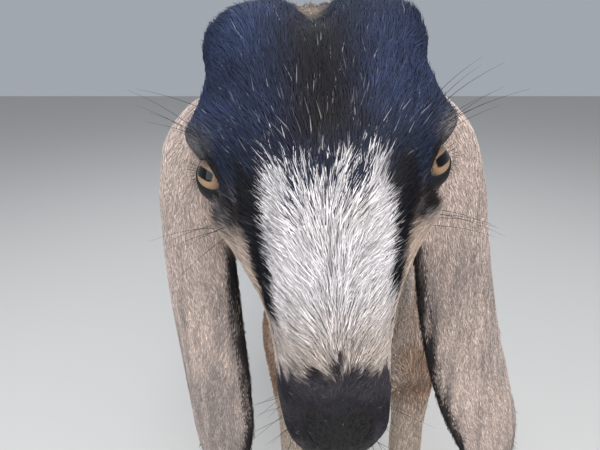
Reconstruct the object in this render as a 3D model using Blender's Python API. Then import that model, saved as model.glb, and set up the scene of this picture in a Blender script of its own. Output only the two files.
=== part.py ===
"""A standing Nubian goat at life size, as a museum model in named solids.

Metres, +Z up. The goat faces -Y, its left side is +X, and its feet stand on z = 0.
The flesh is made whole from lofted forms and parted with thin cuts.
"""

import math

import bmesh
import bpy
import numpy as np
from mathutils import Matrix, Vector

# Driving sizes of the animal
WITHERS = 0.745  # height of the back over the forelegs
TRUNK_LENGTH = 0.79  # from the point of the chest to the pin bones
STANCE_FORE = 0.084  # how far each forefoot stands from the midline
STANCE_HIND = 0.086
FORE_Y = -0.090  # where the forelegs carry the trunk
HIND_Y = 0.470
HEAD_PITCH = math.radians(10)  # the face leans this far out from upright
HEAD_ROLL = math.radians(-3.6)  # the head hangs a little to one side
EYE_LINE = Vector((-0.070, -0.470, 0.868))  # midway between the eyes
CUT = 0.0003  # the gap that parts two pieces
WELD = 0.00005  # points nearer than this after a cut become one
CM = 0.01

# Where the pieces are parted, and the way each cut faces
HEAD_CUT, HEAD_CUT_WAY = Vector((-0.064, -0.352, 0.880)), Vector((-0.04, -0.96, 0.26))
NECK_CUT, NECK_CUT_WAY = Vector((0.0, -0.150, 0.640)), Vector((0, -0.80, 0.60))
TAIL_CUT = Vector((0, 0.553, 0.713)), Vector((0, 0.72, 0.69))
FORELEG_TOP = 0.375
HINDLEG_TOP = 0.402
FOOT_BOX = 0.10

# Colour and roughness of each kind of piece
COLOURS = {
    "head": ((0.020, 0.022, 0.030), 0.55),
    "neck": ((0.330, 0.215, 0.140), 0.80),
    "torso": ((0.300, 0.185, 0.115), 0.80),
    "tail": ((0.120, 0.075, 0.050), 0.80),
    "ear": ((0.400, 0.310, 0.240), 0.80),
    "eye": ((0.450, 0.270, 0.100), 0.08),
    "foreleg": ((0.420, 0.300, 0.200), 0.80),
    "hindleg": ((0.320, 0.200, 0.130), 0.80),
    "hoof": ((0.060, 0.050, 0.045), 0.50),
}

# How finely the forms are faceted
BODY_VOXEL = 0.0055
BODY_SMOOTHING = 5
TRUNK_SMOOTHING = 30
HEAVY_FROM, HEAVY_FULL = 0.36, 0.50  # where legs turn into trunk, for the smoothing
TAIL_AHEAD, TAIL_UNDER = 0.03, 0.05  # the heavy smoothing keeps this far from the tail
BODY_TRIANGLES = 4600
HEAD_RINGS = 38
HEAD_AROUND = 38
EAR_RINGS = 20
EAR_AROUND = 16

# Trunk stations as shares of TRUNK_LENGTH and WITHERS:
# place from the chest, top, underside, half width, height of the widest line
TRUNK = (
    (0.000, 0.790, 0.640, 0.050, 0.710),
    (0.035, 0.860, 0.588, 0.098, 0.705),
    (0.100, 0.940, 0.552, 0.134, 0.700),
    (0.190, 0.990, 0.532, 0.150, 0.690),
    (0.300, 0.990, 0.516, 0.174, 0.670),
    (0.440, 0.978, 0.494, 0.212, 0.655),
    (0.570, 0.980, 0.482, 0.226, 0.655),
    (0.680, 0.992, 0.510, 0.204, 0.680),
    (0.770, 1.002, 0.570, 0.172, 0.735),
    (0.850, 0.990, 0.628, 0.150, 0.780),
    (0.930, 0.944, 0.700, 0.116, 0.795),
    (0.980, 0.890, 0.745, 0.080, 0.800),
    (1.000, 0.850, 0.770, 0.035, 0.810),
)
TRUNK_FRONT = -0.205

# Neck stations in metres: centre, half width, half depth
NECK = (
    (0.000, -0.020, 0.585, 0.084, 0.150),
    (0.000, -0.125, 0.622, 0.082, 0.136),
    (-0.012, -0.205, 0.678, 0.068, 0.108),
    (-0.032, -0.275, 0.742, 0.057, 0.085),
    (-0.052, -0.338, 0.803, 0.050, 0.072),
    (-0.065, -0.388, 0.852, 0.047, 0.064),
)

# Leg stations in metres, from the trunk down: sideways from the stance line,
# along from the leg's own place, height, half width, half depth
FORELEG = (
    (-0.006, 0.010, 0.620, 0.040, 0.092),
    (0.004, -0.012, 0.540, 0.048, 0.088),
    (0.010, 0.004, 0.455, 0.042, 0.066),
    (0.010, -0.004, 0.385, 0.0335, 0.047),
    (0.006, -0.010, 0.325, 0.0275, 0.035),
    (0.003, -0.013, 0.275, 0.0285, 0.0320),
    (0.002, -0.014, 0.252, 0.0275, 0.0315),
    (0.001, -0.011, 0.222, 0.0215, 0.0255),
    (0.000, -0.008, 0.175, 0.0190, 0.0220),
    (0.000, -0.006, 0.135, 0.0190, 0.0225),
    (0.000, -0.005, 0.108, 0.0240, 0.0275),
    (0.000, -0.014, 0.078, 0.0220, 0.0235),
    (0.000, -0.025, 0.048, 0.0258, 0.0268),
    (0.000, -0.036, 0.022, 0.0258, 0.0248),
)
HINDLEG = (
    (-0.030, -0.025, 0.655, 0.060, 0.105),
    (-0.002, -0.048, 0.560, 0.064, 0.104),
    (0.012, -0.052, 0.485, 0.054, 0.084),
    (0.012, -0.026, 0.415, 0.041, 0.060),
    (0.008, 0.006, 0.350, 0.0300, 0.041),
    (0.005, 0.030, 0.298, 0.0250, 0.0350),
    (0.004, 0.036, 0.266, 0.0240, 0.0330),
    (0.003, 0.032, 0.228, 0.0205, 0.0265),
    (0.002, 0.026, 0.175, 0.0190, 0.0225),
    (0.001, 0.022, 0.135, 0.0190, 0.0225),
    (0.000, 0.019, 0.106, 0.0235, 0.0270),
    (0.000, 0.009, 0.078, 0.0220, 0.0235),
    (0.000, -0.003, 0.048, 0.0258, 0.0268),
    (0.000, -0.014, 0.022, 0.0258, 0.0248),
)
# Each foot's step outwards and back from its leg's place, so that the stance is easy
STEPS = {
    "foreleg_left": (0.030, -0.006),
    "foreleg_right": (0.004, 0.014),
    "hindleg_left": (0.004, -0.024),
    "hindleg_right": (0.008, 0.012),
}
STEP_TOP = 0.50  # a leg swings from this height down

# Forms under the hide on each side: place and radii
BONES = {
    "hip": ((0.083, 0.390, 0.684), (0.033, 0.052, 0.034)),
    "pin": ((0.046, 0.534, 0.646), (0.030, 0.034, 0.036)),
    "shoulder": ((0.082, -0.140, 0.555), (0.036, 0.050, 0.060)),
    "blade": ((0.056, -0.062, 0.625), (0.046, 0.066, 0.086)),
    "brisket": ((0.022, -0.160, 0.505), (0.050, 0.052, 0.064)),
    "ham": ((0.076, 0.476, 0.545), (0.050, 0.070, 0.110)),
}
# Rises and hollows of the hide on each side: place, reach each way, height
HIDE = {
    "flank": ((0.135, 0.318, 0.618), (0.060, 0.062, 0.058), -0.016),
    "stifle_fold": ((0.120, 0.330, 0.455), (0.050, 0.045, 0.050), -0.008),
    "thigh": ((0.130, 0.425, 0.540), (0.050, 0.075, 0.095), 0.012),
    "loin": ((0.060, 0.330, 0.745), (0.045, 0.070, 0.030), -0.006),
    "ribs": ((0.160, 0.150, 0.520), (0.060, 0.120, 0.100), 0.006),
    "shoulder_groove": ((0.120, 0.020, 0.560), (0.050, 0.034, 0.100), -0.008),
    "upper_arm": ((0.110, -0.105, 0.520), (0.050, 0.055, 0.070), 0.006),
    "neck_base": ((0.070, -0.170, 0.650), (0.040, 0.040, 0.060), -0.003),
}
# Forms on the legs: the legs that have them, the station they sit at, how far out to
# each side, back and up from it, and radii
LEG_BONES = {
    "elbow": ("fore", 2, (0.0, 0.046, 0.006), (0.020, 0.024, 0.028)),
    "hock": ("hind", 5, (0.0, 0.020, 0.006), (0.0130, 0.0175, 0.026)),
    "fore_dewclaw": ("fore", 10, (0.011, 0.024, -0.012), (0.0070, 0.0098, 0.0095)),
    "hind_dewclaw": ("hind", 10, (0.011, 0.024, -0.012), (0.0070, 0.0098, 0.0095)),
}
UDDER = (0, 0.372, 0.432), (0.050, 0.058, 0.046)
# The left teat's stations: centre and radius
TEAT = (
    (0.026, 0.366, 0.412, 0.013),
    (0.032, 0.360, 0.380, 0.009),
    (0.035, 0.356, 0.362, 0.005),
)

# Tail stations in metres: centre, half width, half depth
TAIL = (
    (0.000, 0.520, 0.690, 0.026, 0.022),
    (0.000, 0.557, 0.716, 0.022, 0.016),
    (0.002, 0.591, 0.746, 0.019, 0.011),
    (0.005, 0.617, 0.778, 0.015, 0.009),
    (0.008, 0.631, 0.806, 0.008, 0.005),
)

# Head stations in centimetres, in the head's own frame, whose +Z runs up the face
# and whose -Y looks out of it: height, face, throat, half width, depth of the
# widest line, squareness of the face side, squareness of the throat side
HEAD = (
    (-17.0, 1.2, 2.2, 0.5, 1.7, 2.0, 2.0),
    (-16.8, 0.2, 3.1, 1.4, 1.7, 2.0, 2.0),
    (-16.2, -0.7, 3.7, 2.05, 1.6, 2.2, 2.2),
    (-15.3, -1.6, 4.2, 2.60, 1.5, 2.4, 2.3),
    (-14.2, -2.35, 4.4, 2.98, 1.4, 2.5, 2.4),
    (-12.8, -2.85, 4.5, 3.22, 1.4, 2.5, 2.4),
    (-11.0, -3.30, 4.7, 3.30, 1.4, 2.4, 2.4),
    (-9.0, -3.72, 5.1, 3.38, 1.5, 2.3, 2.2),
    (-7.0, -4.02, 5.8, 3.75, 1.5, 2.2, 2.1),
    (-5.0, -4.12, 6.7, 4.45, 1.4, 2.2, 2.0),
    (-3.2, -4.00, 7.8, 5.35, 1.2, 2.2, 2.0),
    (-1.4, -3.75, 8.9, 6.10, 0.9, 2.3, 1.9),
    (0.4, -3.35, 9.5, 6.55, 1.0, 2.4, 1.9),
    (2.0, -2.85, 9.5, 6.60, 1.4, 2.4, 2.0),
    (3.6, -2.25, 9.2, 6.30, 1.9, 2.4, 2.1),
    (5.0, -1.60, 8.6, 6.05, 2.4, 2.4, 2.1),
    (6.4, -0.75, 7.7, 6.00, 2.8, 2.4, 2.1),
    (7.6, 0.20, 6.8, 5.55, 3.1, 2.3, 2.0),
    (8.5, 1.30, 5.8, 4.30, 3.4, 2.1, 2.0),
    (9.0, 2.70, 4.6, 1.90, 3.5, 2.0, 2.0),
)
# Rises and hollows of the head in centimetres, on the left and mirrored to the right:
# place, reach each way, height, way it moves (None for straight out)
RISES = {
    "brow": ((6.1, -0.3, 2.0), (1.7, 2.2, 0.9), 0.50, None),
    "socket": ((6.2, -0.8, -0.1), (1.6, 1.9, 1.3), -0.85, None),
    "cheekbone": ((5.3, 0.0, -2.4), (1.4, 2.2, 0.9), 0.30, None),
    "tear_hollow": ((4.3, -2.6, -1.8), (0.9, 1.0, 1.6), -0.20, None),
    "jaw_muscle": ((4.9, 5.6, -1.2), (1.5, 2.4, 2.8), 0.35, None),
    "cheek_hollow": ((3.6, 0.8, -7.0), (1.0, 1.9, 2.0), -0.20, None),
    "dome": ((3.4, 1.2, 7.2), (2.2, 3.0, 1.6), 0.40, (0, -0.3, 1)),
    "cleft": ((0.0, 1.6, 8.2), (0.95, 3.6, 1.9), -1.10, (0, -0.35, 1)),
    "waist": ((6.2, 2.0, 4.7), (1.2, 2.6, 0.9), -0.15, None),
    "nostril_wing": ((2.2, -1.7, -13.4), (0.7, 1.0, 1.2), 0.28, None),
    "nose_pad": ((0.0, -2.0, -14.4), (1.1, 0.8, 0.9), 0.18, None),
    "upper_lip": ((2.0, 0.3, -15.4), (1.0, 0.9, 0.9), 0.24, None),
    "lower_lip": ((1.6, 3.0, -15.8), (1.0, 0.6, 0.8), 0.14, None),
    "chin": ((0.0, 4.2, -15.0), (1.6, 0.9, 0.9), 0.32, None),
}

# Where the mouth and nostrils run on the head: height in centimetres and the turn
# from the middle of the face, in degrees
MOUTH_LINE = ((-16.9, 128), (-16.4, 116), (-15.4, 110), (-14.0, 107), (-12.2, 110))
MOUTH_RADIUS = 0.0013
NOSTRIL_LINE = ((-11.7, 32), (-12.6, 30), (-13.4, 26), (-14.0, 19))
NOSTRIL_RADIUS = 0.0022

# Eyes, in centimetres in the head's frame
EYE_CENTRE = (4.85, 0.25, 0.0)
EYE_AXIS = (0.86, -0.50, 0.06)  # the way the left eye looks
EYE_RADIUS = 1.50
CORNEA_RISE = 0.10
CORNEA_REACH = 0.55  # radians from the eye's axis
LID_THICKNESS = 0.26
LID_SEAT = 0.98  # the lids start this share of the way out, inside the eyeball
LID_REACH = math.radians(80)
LID_HALF_LENGTH = math.radians(58)  # half of the gap between the lids, along
LID_HALF_HEIGHT = math.radians(37)  # and across
LID_TILT = math.radians(28)  # the gap drops this much towards the nose

# Ears: the line down the middle of each, in centimetres from the eye line with +Z
# straight up, then width, curl to each side in degrees, wall, how far the cup is
# filled, and how far the section leans from upright to level, in degrees
EARS = {
    "left": (
        (4.0, 7.2, 3.0, 6.2, 150, 0.60, 1.00, 25),
        (6.8, 7.3, 2.6, 6.8, 142, 0.60, 0.95, 40),
        (9.3, 7.2, 0.5, 7.8, 108, 0.50, 0.45, 66),
        (10.4, 7.1, -2.4, 8.8, 80, 0.44, 0.00, 84),
        (11.1, 6.9, -6.5, 9.6, 64, 0.42, 0.00, 90),
        (12.1, 6.7, -11.8, 10.1, 56, 0.40, 0.00, 90),
        (13.5, 6.5, -17.6, 10.1, 48, 0.38, 0.00, 90),
        (15.1, 6.4, -22.8, 9.2, 40, 0.36, 0.00, 90),
        (16.1, 6.3, -26.2, 6.8, 32, 0.34, 0.00, 90),
        (16.6, 6.2, -28.4, 1.8, 26, 0.26, 0.00, 90),
    ),
    "right": (
        (-4.4, 7.1, 2.5, 6.2, 150, 0.60, 1.00, 25),
        (-7.2, 7.2, 2.0, 6.8, 142, 0.60, 0.95, 40),
        (-9.3, 7.1, -0.2, 7.8, 108, 0.50, 0.45, 66),
        (-9.9, 7.0, -3.0, 8.8, 80, 0.44, 0.00, 84),
        (-10.0, 6.8, -7.2, 9.5, 66, 0.42, 0.00, 90),
        (-9.8, 6.6, -12.6, 9.9, 58, 0.40, 0.00, 90),
        (-9.3, 6.4, -18.5, 9.7, 50, 0.38, 0.00, 90),
        (-8.9, 6.3, -23.6, 8.7, 42, 0.36, 0.00, 90),
        (-8.7, 6.2, -26.6, 6.4, 34, 0.34, 0.00, 90),
        (-8.6, 6.1, -28.6, 1.8, 28, 0.26, 0.00, 90),
    ),
}
# The back of each ear is turned this far from the front
EAR_FACING = {"left": math.radians(35), "right": math.radians(41)}

# Hooves
CLAW_LENGTH = 0.058
CLAW_WIDTH = 0.0225
CLAW_HEIGHT = 0.034
CLAW_SPLAY = math.radians(5)
CORONET_SLOPE = math.radians(14)
CLAW_GAP = 0.0030
# The claw's rings from sole to top: share of the height, length and width
CLAW_RINGS = ((0.0, 0.985, 0.970), (0.12, 0.974, 0.993), (1.0, 0.780, 0.940))
CLAW_TOE = 0.62  # the share of a claw's length ahead of its widest line
CLAW_TAPER = 0.30
HEEL_RUN = 0.012  # the heel lies this much further back at the top


def eased(keys, rows, places):
    """Rows of sizes carried smoothly from key to key, read at the places given."""
    keys, rows = np.asarray(keys, float), np.asarray(rows, float)
    places = np.clip(np.asarray(places, float), keys[0], keys[-1])
    slopes = np.gradient(rows, keys, axis=0)
    cell = np.clip(np.searchsorted(keys, places) - 1, 0, len(keys) - 2)
    span = (keys[cell + 1] - keys[cell])[:, None]
    t = (places - keys[cell])[:, None] / span
    start, end = rows[cell], rows[cell + 1]
    return (
        (1 + 2 * t) * (1 - t) ** 2 * start
        + t * (1 - t) ** 2 * span * slopes[cell]
        + t * t * (3 - 2 * t) * end
        + t * t * (t - 1) * span * slopes[cell + 1]
    )


def along(stations, count):
    """Stations that start with a point, read at even steps along their path."""
    stations = np.asarray(stations, float)
    steps = np.linalg.norm(np.diff(stations[:, :3], axis=0), axis=1)
    keys = np.concatenate([[0], np.cumsum(steps)])
    return eased(keys, stations, np.linspace(0, keys[-1], count))


def power(value, exponent):
    """A signed power, which squares off a sine or a cosine."""
    return np.sign(value) * np.abs(value) ** exponent


def object_of(name, shape):
    """An object of its own that takes over a working mesh."""
    mesh = bpy.data.meshes.new(name)
    shape.to_mesh(mesh)
    shape.free()
    made = bpy.data.objects.new(name, mesh)
    bpy.context.scene.collection.objects.link(made)
    return made


def new_object(name, points, faces):
    """An object of its own from points and faces, its faces turned outwards."""
    mesh = bpy.data.meshes.new(name)
    mesh.from_pydata([tuple(map(float, p)) for p in points], [], faces)
    shape = bmesh.new()
    shape.from_mesh(mesh)
    bmesh.ops.recalc_face_normals(shape, faces=shape.faces)
    return object_of(name, shape)


def loft(name, rings):
    """A closed form over a stack of rings, with a fan of faces at each end."""
    rings = np.asarray(rings, float)
    count, around = rings.shape[:2]
    points = [*rings.reshape(-1, 3), rings[0].mean(0), rings[-1].mean(0)]
    faces = []
    for i in range(count - 1):
        for j in range(around):
            k = (j + 1) % around
            low, high = i * around, (i + 1) * around
            faces.append((low + j, low + k, high + k, high + j))
    for j in range(around):
        k = (j + 1) % around
        top = (count - 1) * around
        faces.append((count * around, k, j))
        faces.append((count * around + 1, top + j, top + k))
    return new_object(name, points, faces)


def limb(name, stations, count=24, around=20):
    """A closed limb of oval rings that stand square to its path."""
    rows = along(stations, count)
    path = rows[:, :3]
    ways = np.gradient(path, axis=0)
    ways /= np.linalg.norm(ways, axis=1)[:, None]
    turns = np.linspace(0, 2 * math.pi, around, endpoint=False)
    rings = []
    for (x, y, z, half_width, half_depth), way in zip(rows, ways):
        across = np.array((1.0, 0, 0)) - way * way[0]
        across /= np.linalg.norm(across)
        deep = np.cross(way, across)
        ring = (
            np.array((x, y, z))
            + np.outer(np.cos(turns) * half_width, across)
            + np.outer(np.sin(turns) * half_depth, deep)
        )
        rings.append(ring)
    return loft(name, rings)


def ball(name, centre, radii):
    """A ball stretched to three radii."""
    shape = bmesh.new()
    bmesh.ops.create_icosphere(shape, subdivisions=3, radius=1)
    bmesh.ops.transform(shape, matrix=Matrix.Diagonal((*radii, 1)), verts=shape.verts)
    bmesh.ops.translate(shape, vec=Vector(centre), verts=shape.verts)
    return object_of(name, shape)


def block(name, centre, size, turn=None):
    """A box, turned about its centre."""
    shape = bmesh.new()
    bmesh.ops.create_cube(shape, size=1)
    place = Matrix.Translation(centre) @ (turn or Matrix.Identity(4)) @ Matrix.Diagonal((*size, 1))
    bmesh.ops.transform(shape, matrix=place, verts=shape.verts)
    return object_of(name, shape)


def slab(name, centre, normal, half_across, half_deep):
    """A thin cut that stands square to a normal."""
    up = Vector(normal).normalized()
    side = Vector((0, 1, 0)) if abs(up.x) > 0.8 else Vector((1, 0, 0))
    side = (side - up * side.dot(up)).normalized()
    turn = Matrix((side, up.cross(side), up)).transposed().to_4x4()
    return block(name, centre, (2 * half_across, 2 * half_deep, CUT), turn)


def apply_modifiers(made):
    """The object keeps the mesh that its modifiers make."""
    graph = bpy.context.evaluated_depsgraph_get()
    mesh = bpy.data.meshes.new_from_object(made.evaluated_get(graph))
    made.modifiers.clear()
    made.data = mesh
    return made


def combine(made, others, operation):
    """One Boolean on closed meshes, applied, and the others removed."""
    group = bpy.data.collections.new("operands")
    for other in others:
        group.objects.link(other)
    cut = made.modifiers.new("Join", "BOOLEAN")
    cut.operation = operation
    cut.operand_type = "COLLECTION"
    cut.collection = group
    cut.solver = "MANIFOLD"
    apply_modifiers(made)
    for other in others:
        bpy.data.objects.remove(other)
    bpy.data.collections.remove(group)
    return made


def join(name, made):
    """Several objects made one, with no union."""
    shape = bmesh.new()
    for one in made:
        shape.from_mesh(one.data)
        bpy.data.objects.remove(one)
    return object_of(name, shape)


def islands(made):
    """The closed surfaces of an object, whose faces meet along edges, as points and faces."""
    shape = bmesh.new()
    shape.from_mesh(made.data)
    bpy.data.objects.remove(made)
    bmesh.ops.remove_doubles(shape, verts=shape.verts, dist=WELD)
    seen = set()
    pieces = []
    for seed in shape.faces:
        if seed in seen:
            continue
        seen.add(seed)
        front, members = [seed], []
        while front:
            face = front.pop()
            members.append(face)
            for edge in face.edges:
                for other in edge.link_faces:
                    if other not in seen:
                        seen.add(other)
                        front.append(other)
        order = {}
        for face in members:
            for vertex in face.verts:
                order.setdefault(vertex, len(order))
        points = [vertex.co.copy() for vertex in order]
        pieces.append((points, [tuple(order[v] for v in face.verts) for face in members]))
    shape.free()
    return pieces


def head_to_world():
    """Where the head's own frame stands."""
    roll = Matrix.Rotation(HEAD_ROLL, 4, "Y")
    pitch = Matrix.Rotation(-HEAD_PITCH, 4, "X")
    return Matrix.Translation(EYE_LINE) @ pitch @ roll


def rise(points, ways):
    """Every rise and hollow of the head added to its points."""
    moved = points.copy()
    for (x, y, z), reach, height, way in RISES.values():
        for side in (1, -1) if x else (1,):
            off = (points - np.array((side * x, y, z))) / np.array(reach)
            share = np.exp(-(off**2).sum(-1))
            if way is None:
                moved += ways * (share * height)[..., None]
            else:
                moved += np.array(way) / np.linalg.norm(way) * (share * height)[..., None]
    return moved


def head_points(heights, turns):
    """Points on the head in centimetres at heights and turns of the same length."""
    rows = eased([row[0] for row in HEAD], HEAD, heights)
    face, throat, half_width, widest, face_square, throat_square = rows[:, 1:].T
    ahead, beside = np.cos(turns), np.sin(turns)
    square = np.where(ahead > 0, face_square, throat_square)
    deep = np.where(ahead > 0, widest - face, throat - widest)
    x = half_width * power(beside, 2 / square)
    y = widest - deep * power(ahead, 2 / square)
    out_x, out_y = beside / np.maximum(half_width, 0.5), -ahead / np.maximum(deep, 0.5)
    size = np.hypot(out_x, out_y)
    ways = np.stack([out_x / size, out_y / size, np.zeros_like(x)], -1)
    return rise(np.stack([x, y, heights], -1), ways)


def head_form():
    """The head without its ears, lids and nostrils."""
    low, high = HEAD[0][0], HEAD[-1][0]
    share = np.linspace(0, 1, HEAD_RINGS)
    even = low + (high - low) * share
    rounded = low + (high - low) * (1 - np.cos(math.pi * share)) / 2
    heights = 0.45 * even + 0.55 * rounded
    turns = np.linspace(0, 2 * math.pi, HEAD_AROUND, endpoint=False)
    rings = [head_points(np.full(HEAD_AROUND, h), turns) * CM for h in heights]
    return loft("head_form", rings)


def tube_cutter(name, places, radius, side):
    """A fine round bar that runs on the head's surface."""
    heights = np.array([height for height, _ in places])
    turns = np.radians([turn for _, turn in places]) * side
    line = head_points(heights, turns) * CM
    stations = np.column_stack([line, np.full((len(line), 2), radius)])
    return limb(name, stations, count=10, around=6)


def mouth_cutter():
    """The line of the mouth, from one corner round the lips to the other."""
    left = [(height, turn) for height, turn in MOUTH_LINE]
    whole = [(height, -turn) for height, turn in reversed(left)]
    heights = np.array([h for h, _ in whole] + [h for h, _ in left])
    turns = np.radians([t for _, t in whole] + [t for _, t in left])
    line = head_points(heights, turns) * CM
    middle = line[len(whole) - 1 : len(whole) + 1].mean(0) + np.array((0, 0, -0.001))
    line = np.vstack([line[: len(whole)], middle, line[len(whole) :]])
    stations = np.column_stack([line, np.full((len(line), 2), MOUTH_RADIUS)])
    return limb("mouth_cutter", stations, count=26, around=6)


def eye_frame(side):
    """The eye's own frame in the head: +Z looks out, +X runs back along the lids."""
    out = Vector((EYE_AXIS[0] * side, EYE_AXIS[1], EYE_AXIS[2])).normalized()
    back = Vector((0, math.cos(LID_TILT), math.sin(LID_TILT)))
    back = (back - out * back.dot(out)).normalized()
    turn = Matrix((back, out.cross(back), out)).transposed().to_4x4()
    centre = Vector((EYE_CENTRE[0] * side, EYE_CENTRE[1], EYE_CENTRE[2])) * CM
    return Matrix.Translation(centre) @ turn


def lid_ring(side, around=24, across=3):
    """The two lids as one ring that hugs the eyeball, open where the eye looks out."""
    turns = np.linspace(0, 2 * math.pi, around, endpoint=False)
    gap = 1 / np.hypot(np.cos(turns) / LID_HALF_LENGTH, np.sin(turns) / LID_HALF_HEIGHT)
    shares = np.linspace(0, 1, across)
    inner, outer = EYE_RADIUS * LID_SEAT * CM, (EYE_RADIUS + LID_THICKNESS) * CM
    rings = []
    for share, radius in [(s, outer) for s in shares] + [(s, inner) for s in shares[::-1]]:
        lean = gap + (LID_REACH - gap) * share
        out, up = np.sin(lean), np.cos(lean)
        rings.append(np.stack([out * np.cos(turns), out * np.sin(turns), up], -1) * radius)
    faces = []
    count = len(rings)
    for i in range(count):
        for j in range(around):
            k, n = (j + 1) % around, (i + 1) % count
            faces.append((i * around + j, i * around + k, n * around + k, n * around + j))
    made = new_object("lids", np.concatenate(rings), faces)
    made.data.transform(eye_frame(side))
    return made


def eyeball(name, side, grow=0.0):
    """An eyeball with its cornea, in the head's frame."""
    shape = bmesh.new()
    bmesh.ops.create_uvsphere(shape, u_segments=16, v_segments=11, radius=1)
    for vertex in shape.verts:
        lean = vertex.co.angle(Vector((0, 0, 1)), 0)
        cornea = CORNEA_RISE * math.exp(-((lean / CORNEA_REACH) ** 4))
        vertex.co *= (EYE_RADIUS + cornea) * CM + grow
    made = object_of(name, shape)
    made.data.transform(eye_frame(side))
    return made


def ear_form(label):
    """One ear, from its root in the head to its tip, cupped towards the neck."""
    side = 1 if label == "left" else -1
    rows = along(EARS[label], EAR_RINGS)
    spread = np.linspace(-1, 1, EAR_AROUND // 2)
    facing = EAR_FACING[label]
    rings = []
    for x, y, z, width, curl, wall, fill, lean in rows:
        way = np.array((side * math.cos(math.radians(lean)), 0.0, -math.sin(math.radians(lean))))
        out = np.array((side * math.sin(facing), -math.cos(facing), 0.0))
        out -= way * out.dot(way)
        out /= np.linalg.norm(out)
        across = np.cross(way, out)
        bend = math.radians(curl)
        radius = width / 2 / bend
        turns = spread * bend
        edge = wall * (0.55 + 0.45 * np.sqrt(np.clip(1 - spread**2, 0, 1)))
        middle = np.array((x, y, z)) + out * wall / 2
        outer = np.outer(np.sin(turns) * radius, across) + np.outer((np.cos(turns) - 1) * radius, out)
        normals = np.outer(np.sin(turns), across) + np.outer(np.cos(turns), out)
        inner = outer - normals * edge[:, None]
        hollow = (math.cos(bend) - 1) * radius - 0.25 * radius * np.cos(spread * math.pi / 2)
        filled = np.outer(np.sin(turns) * radius * 0.6, across) + np.outer(hollow, out)
        inner = inner * (1 - fill) + filled * fill
        rings.append((np.vstack([outer, inner[::-1]]) + middle) * CM)
    made = loft("ear_form", rings)
    made.data.transform(Matrix.Translation(EYE_LINE))
    return made


def trunk_form():
    """The trunk, from the point of the chest to the pin bones."""
    stations = np.asarray(TRUNK, float)
    share = np.linspace(0, 1, 40)
    rows = eased(stations[:, 0], stations, (share + 0.5 * (1 - np.cos(math.pi * share))) / 2)
    turns = np.linspace(0, 2 * math.pi, 36, endpoint=False)
    rings = []
    for place, top, under, half_width, widest in rows:
        height = np.where(np.sin(turns) > 0, top - widest, widest - under)
        x = half_width * power(np.cos(turns), 0.94) * WITHERS
        z = (widest + height * power(np.sin(turns), 0.94)) * WITHERS
        y = np.full_like(x, TRUNK_FRONT + place * TRUNK_LENGTH)
        rings.append(np.stack([x, y, z], -1))
    return loft("trunk", rings)


def leg_stations(name):
    """A leg's stations in place, swung from STEP_TOP down by its step."""
    fore, side = name.startswith("fore"), 1 if name.endswith("left") else -1
    stance, place = (STANCE_FORE, FORE_Y) if fore else (STANCE_HIND, HIND_Y)
    rows = []
    for out, back, height, half_width, half_depth in FORELEG if fore else HINDLEG:
        swing = max(0.0, 1 - height / STEP_TOP)
        x = side * (stance + out + STEPS[name][0] * swing)
        rows.append((x, place + back + STEPS[name][1] * swing, height, half_width, half_depth))
    return rows


def foot_place(name):
    """The middle of the coronet, where the claws begin."""
    rows = leg_stations(name)
    x, y = rows[-1][:2]
    return Vector((x, y, 0))


def bony_points():
    """The small forms under the hide that show: hips, pins, elbows, hocks and dewclaws."""
    made = []
    for name, ((x, y, z), radii) in BONES.items():
        made += [ball(name, (side * x, y, z), radii) for side in (1, -1)]
    for leg in STEPS:
        stations = leg_stations(leg)
        for name, (kind, station, (out, back, up), radii) in LEG_BONES.items():
            if not leg.startswith(kind):
                continue
            x, y, z = stations[station][:3]
            for side in (1, -1) if out else (1,):
                made.append(ball(name, (x + side * out, y + back, z + up), radii))
    return made


def udder():
    """The small udder of a dry young doe, high between the thighs, with two teats."""
    made = [ball("udder", *UDDER)]
    for side in (1, -1):
        made.append(limb("teat", [(side * x, y, z, r, r) for x, y, z, r in TEAT], 8, 10))
    return made


def mould(body):
    """The rises and hollows of the hide, pressed into the body along its normals."""
    shifts = []
    for vertex in body.data.vertices:
        beside = np.array((abs(vertex.co.x), vertex.co.y, vertex.co.z))
        shift = 0.0
        for place, reach, height in HIDE.values():
            off = (beside - np.array(place)) / np.array(reach)
            shift += height * math.exp(-(off @ off))
        shifts.append(vertex.normal * shift)
    for vertex, shift in zip(body.data.vertices, shifts):
        vertex.co += shift


def flesh_form():
    """Trunk, neck, legs and tail as one smooth body."""
    forms = [trunk_form(), limb("neck", NECK, 20, 28), limb("tail", TAIL, 14, 12)]
    forms += [limb(name, leg_stations(name), 44, 20) for name in STEPS]
    forms += bony_points() + udder()
    body = join("flesh", forms)
    blend = body.modifiers.new("Blend", "REMESH")
    blend.mode = "VOXEL"
    blend.voxel_size = BODY_VOXEL
    apply_modifiers(body)
    mould(body)
    heavy = body.vertex_groups.new(name="heavy")
    for vertex in body.data.vertices:
        share = (vertex.co.z - HEAVY_FROM) / (HEAVY_FULL - HEAVY_FROM)
        past = vertex.co - TAIL_CUT[0]
        by_tail = past.y > -TAIL_AHEAD and past.z > -TAIL_UNDER
        if share > 0 and not by_tail:
            heavy.add([vertex.index], min(share, 1.0), "REPLACE")
    for name, group, times in (("Soften", "heavy", TRUNK_SMOOTHING), ("Even", "", BODY_SMOOTHING)):
        soften = body.modifiers.new(name, "SMOOTH")
        soften.factor = 0.5
        soften.iterations = times
        soften.vertex_group = group
    apply_modifiers(body)
    thin = body.modifiers.new("Thin", "DECIMATE")
    thin.ratio = BODY_TRIANGLES / (2 * len(body.data.polygons))
    return apply_modifiers(body)


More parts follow.
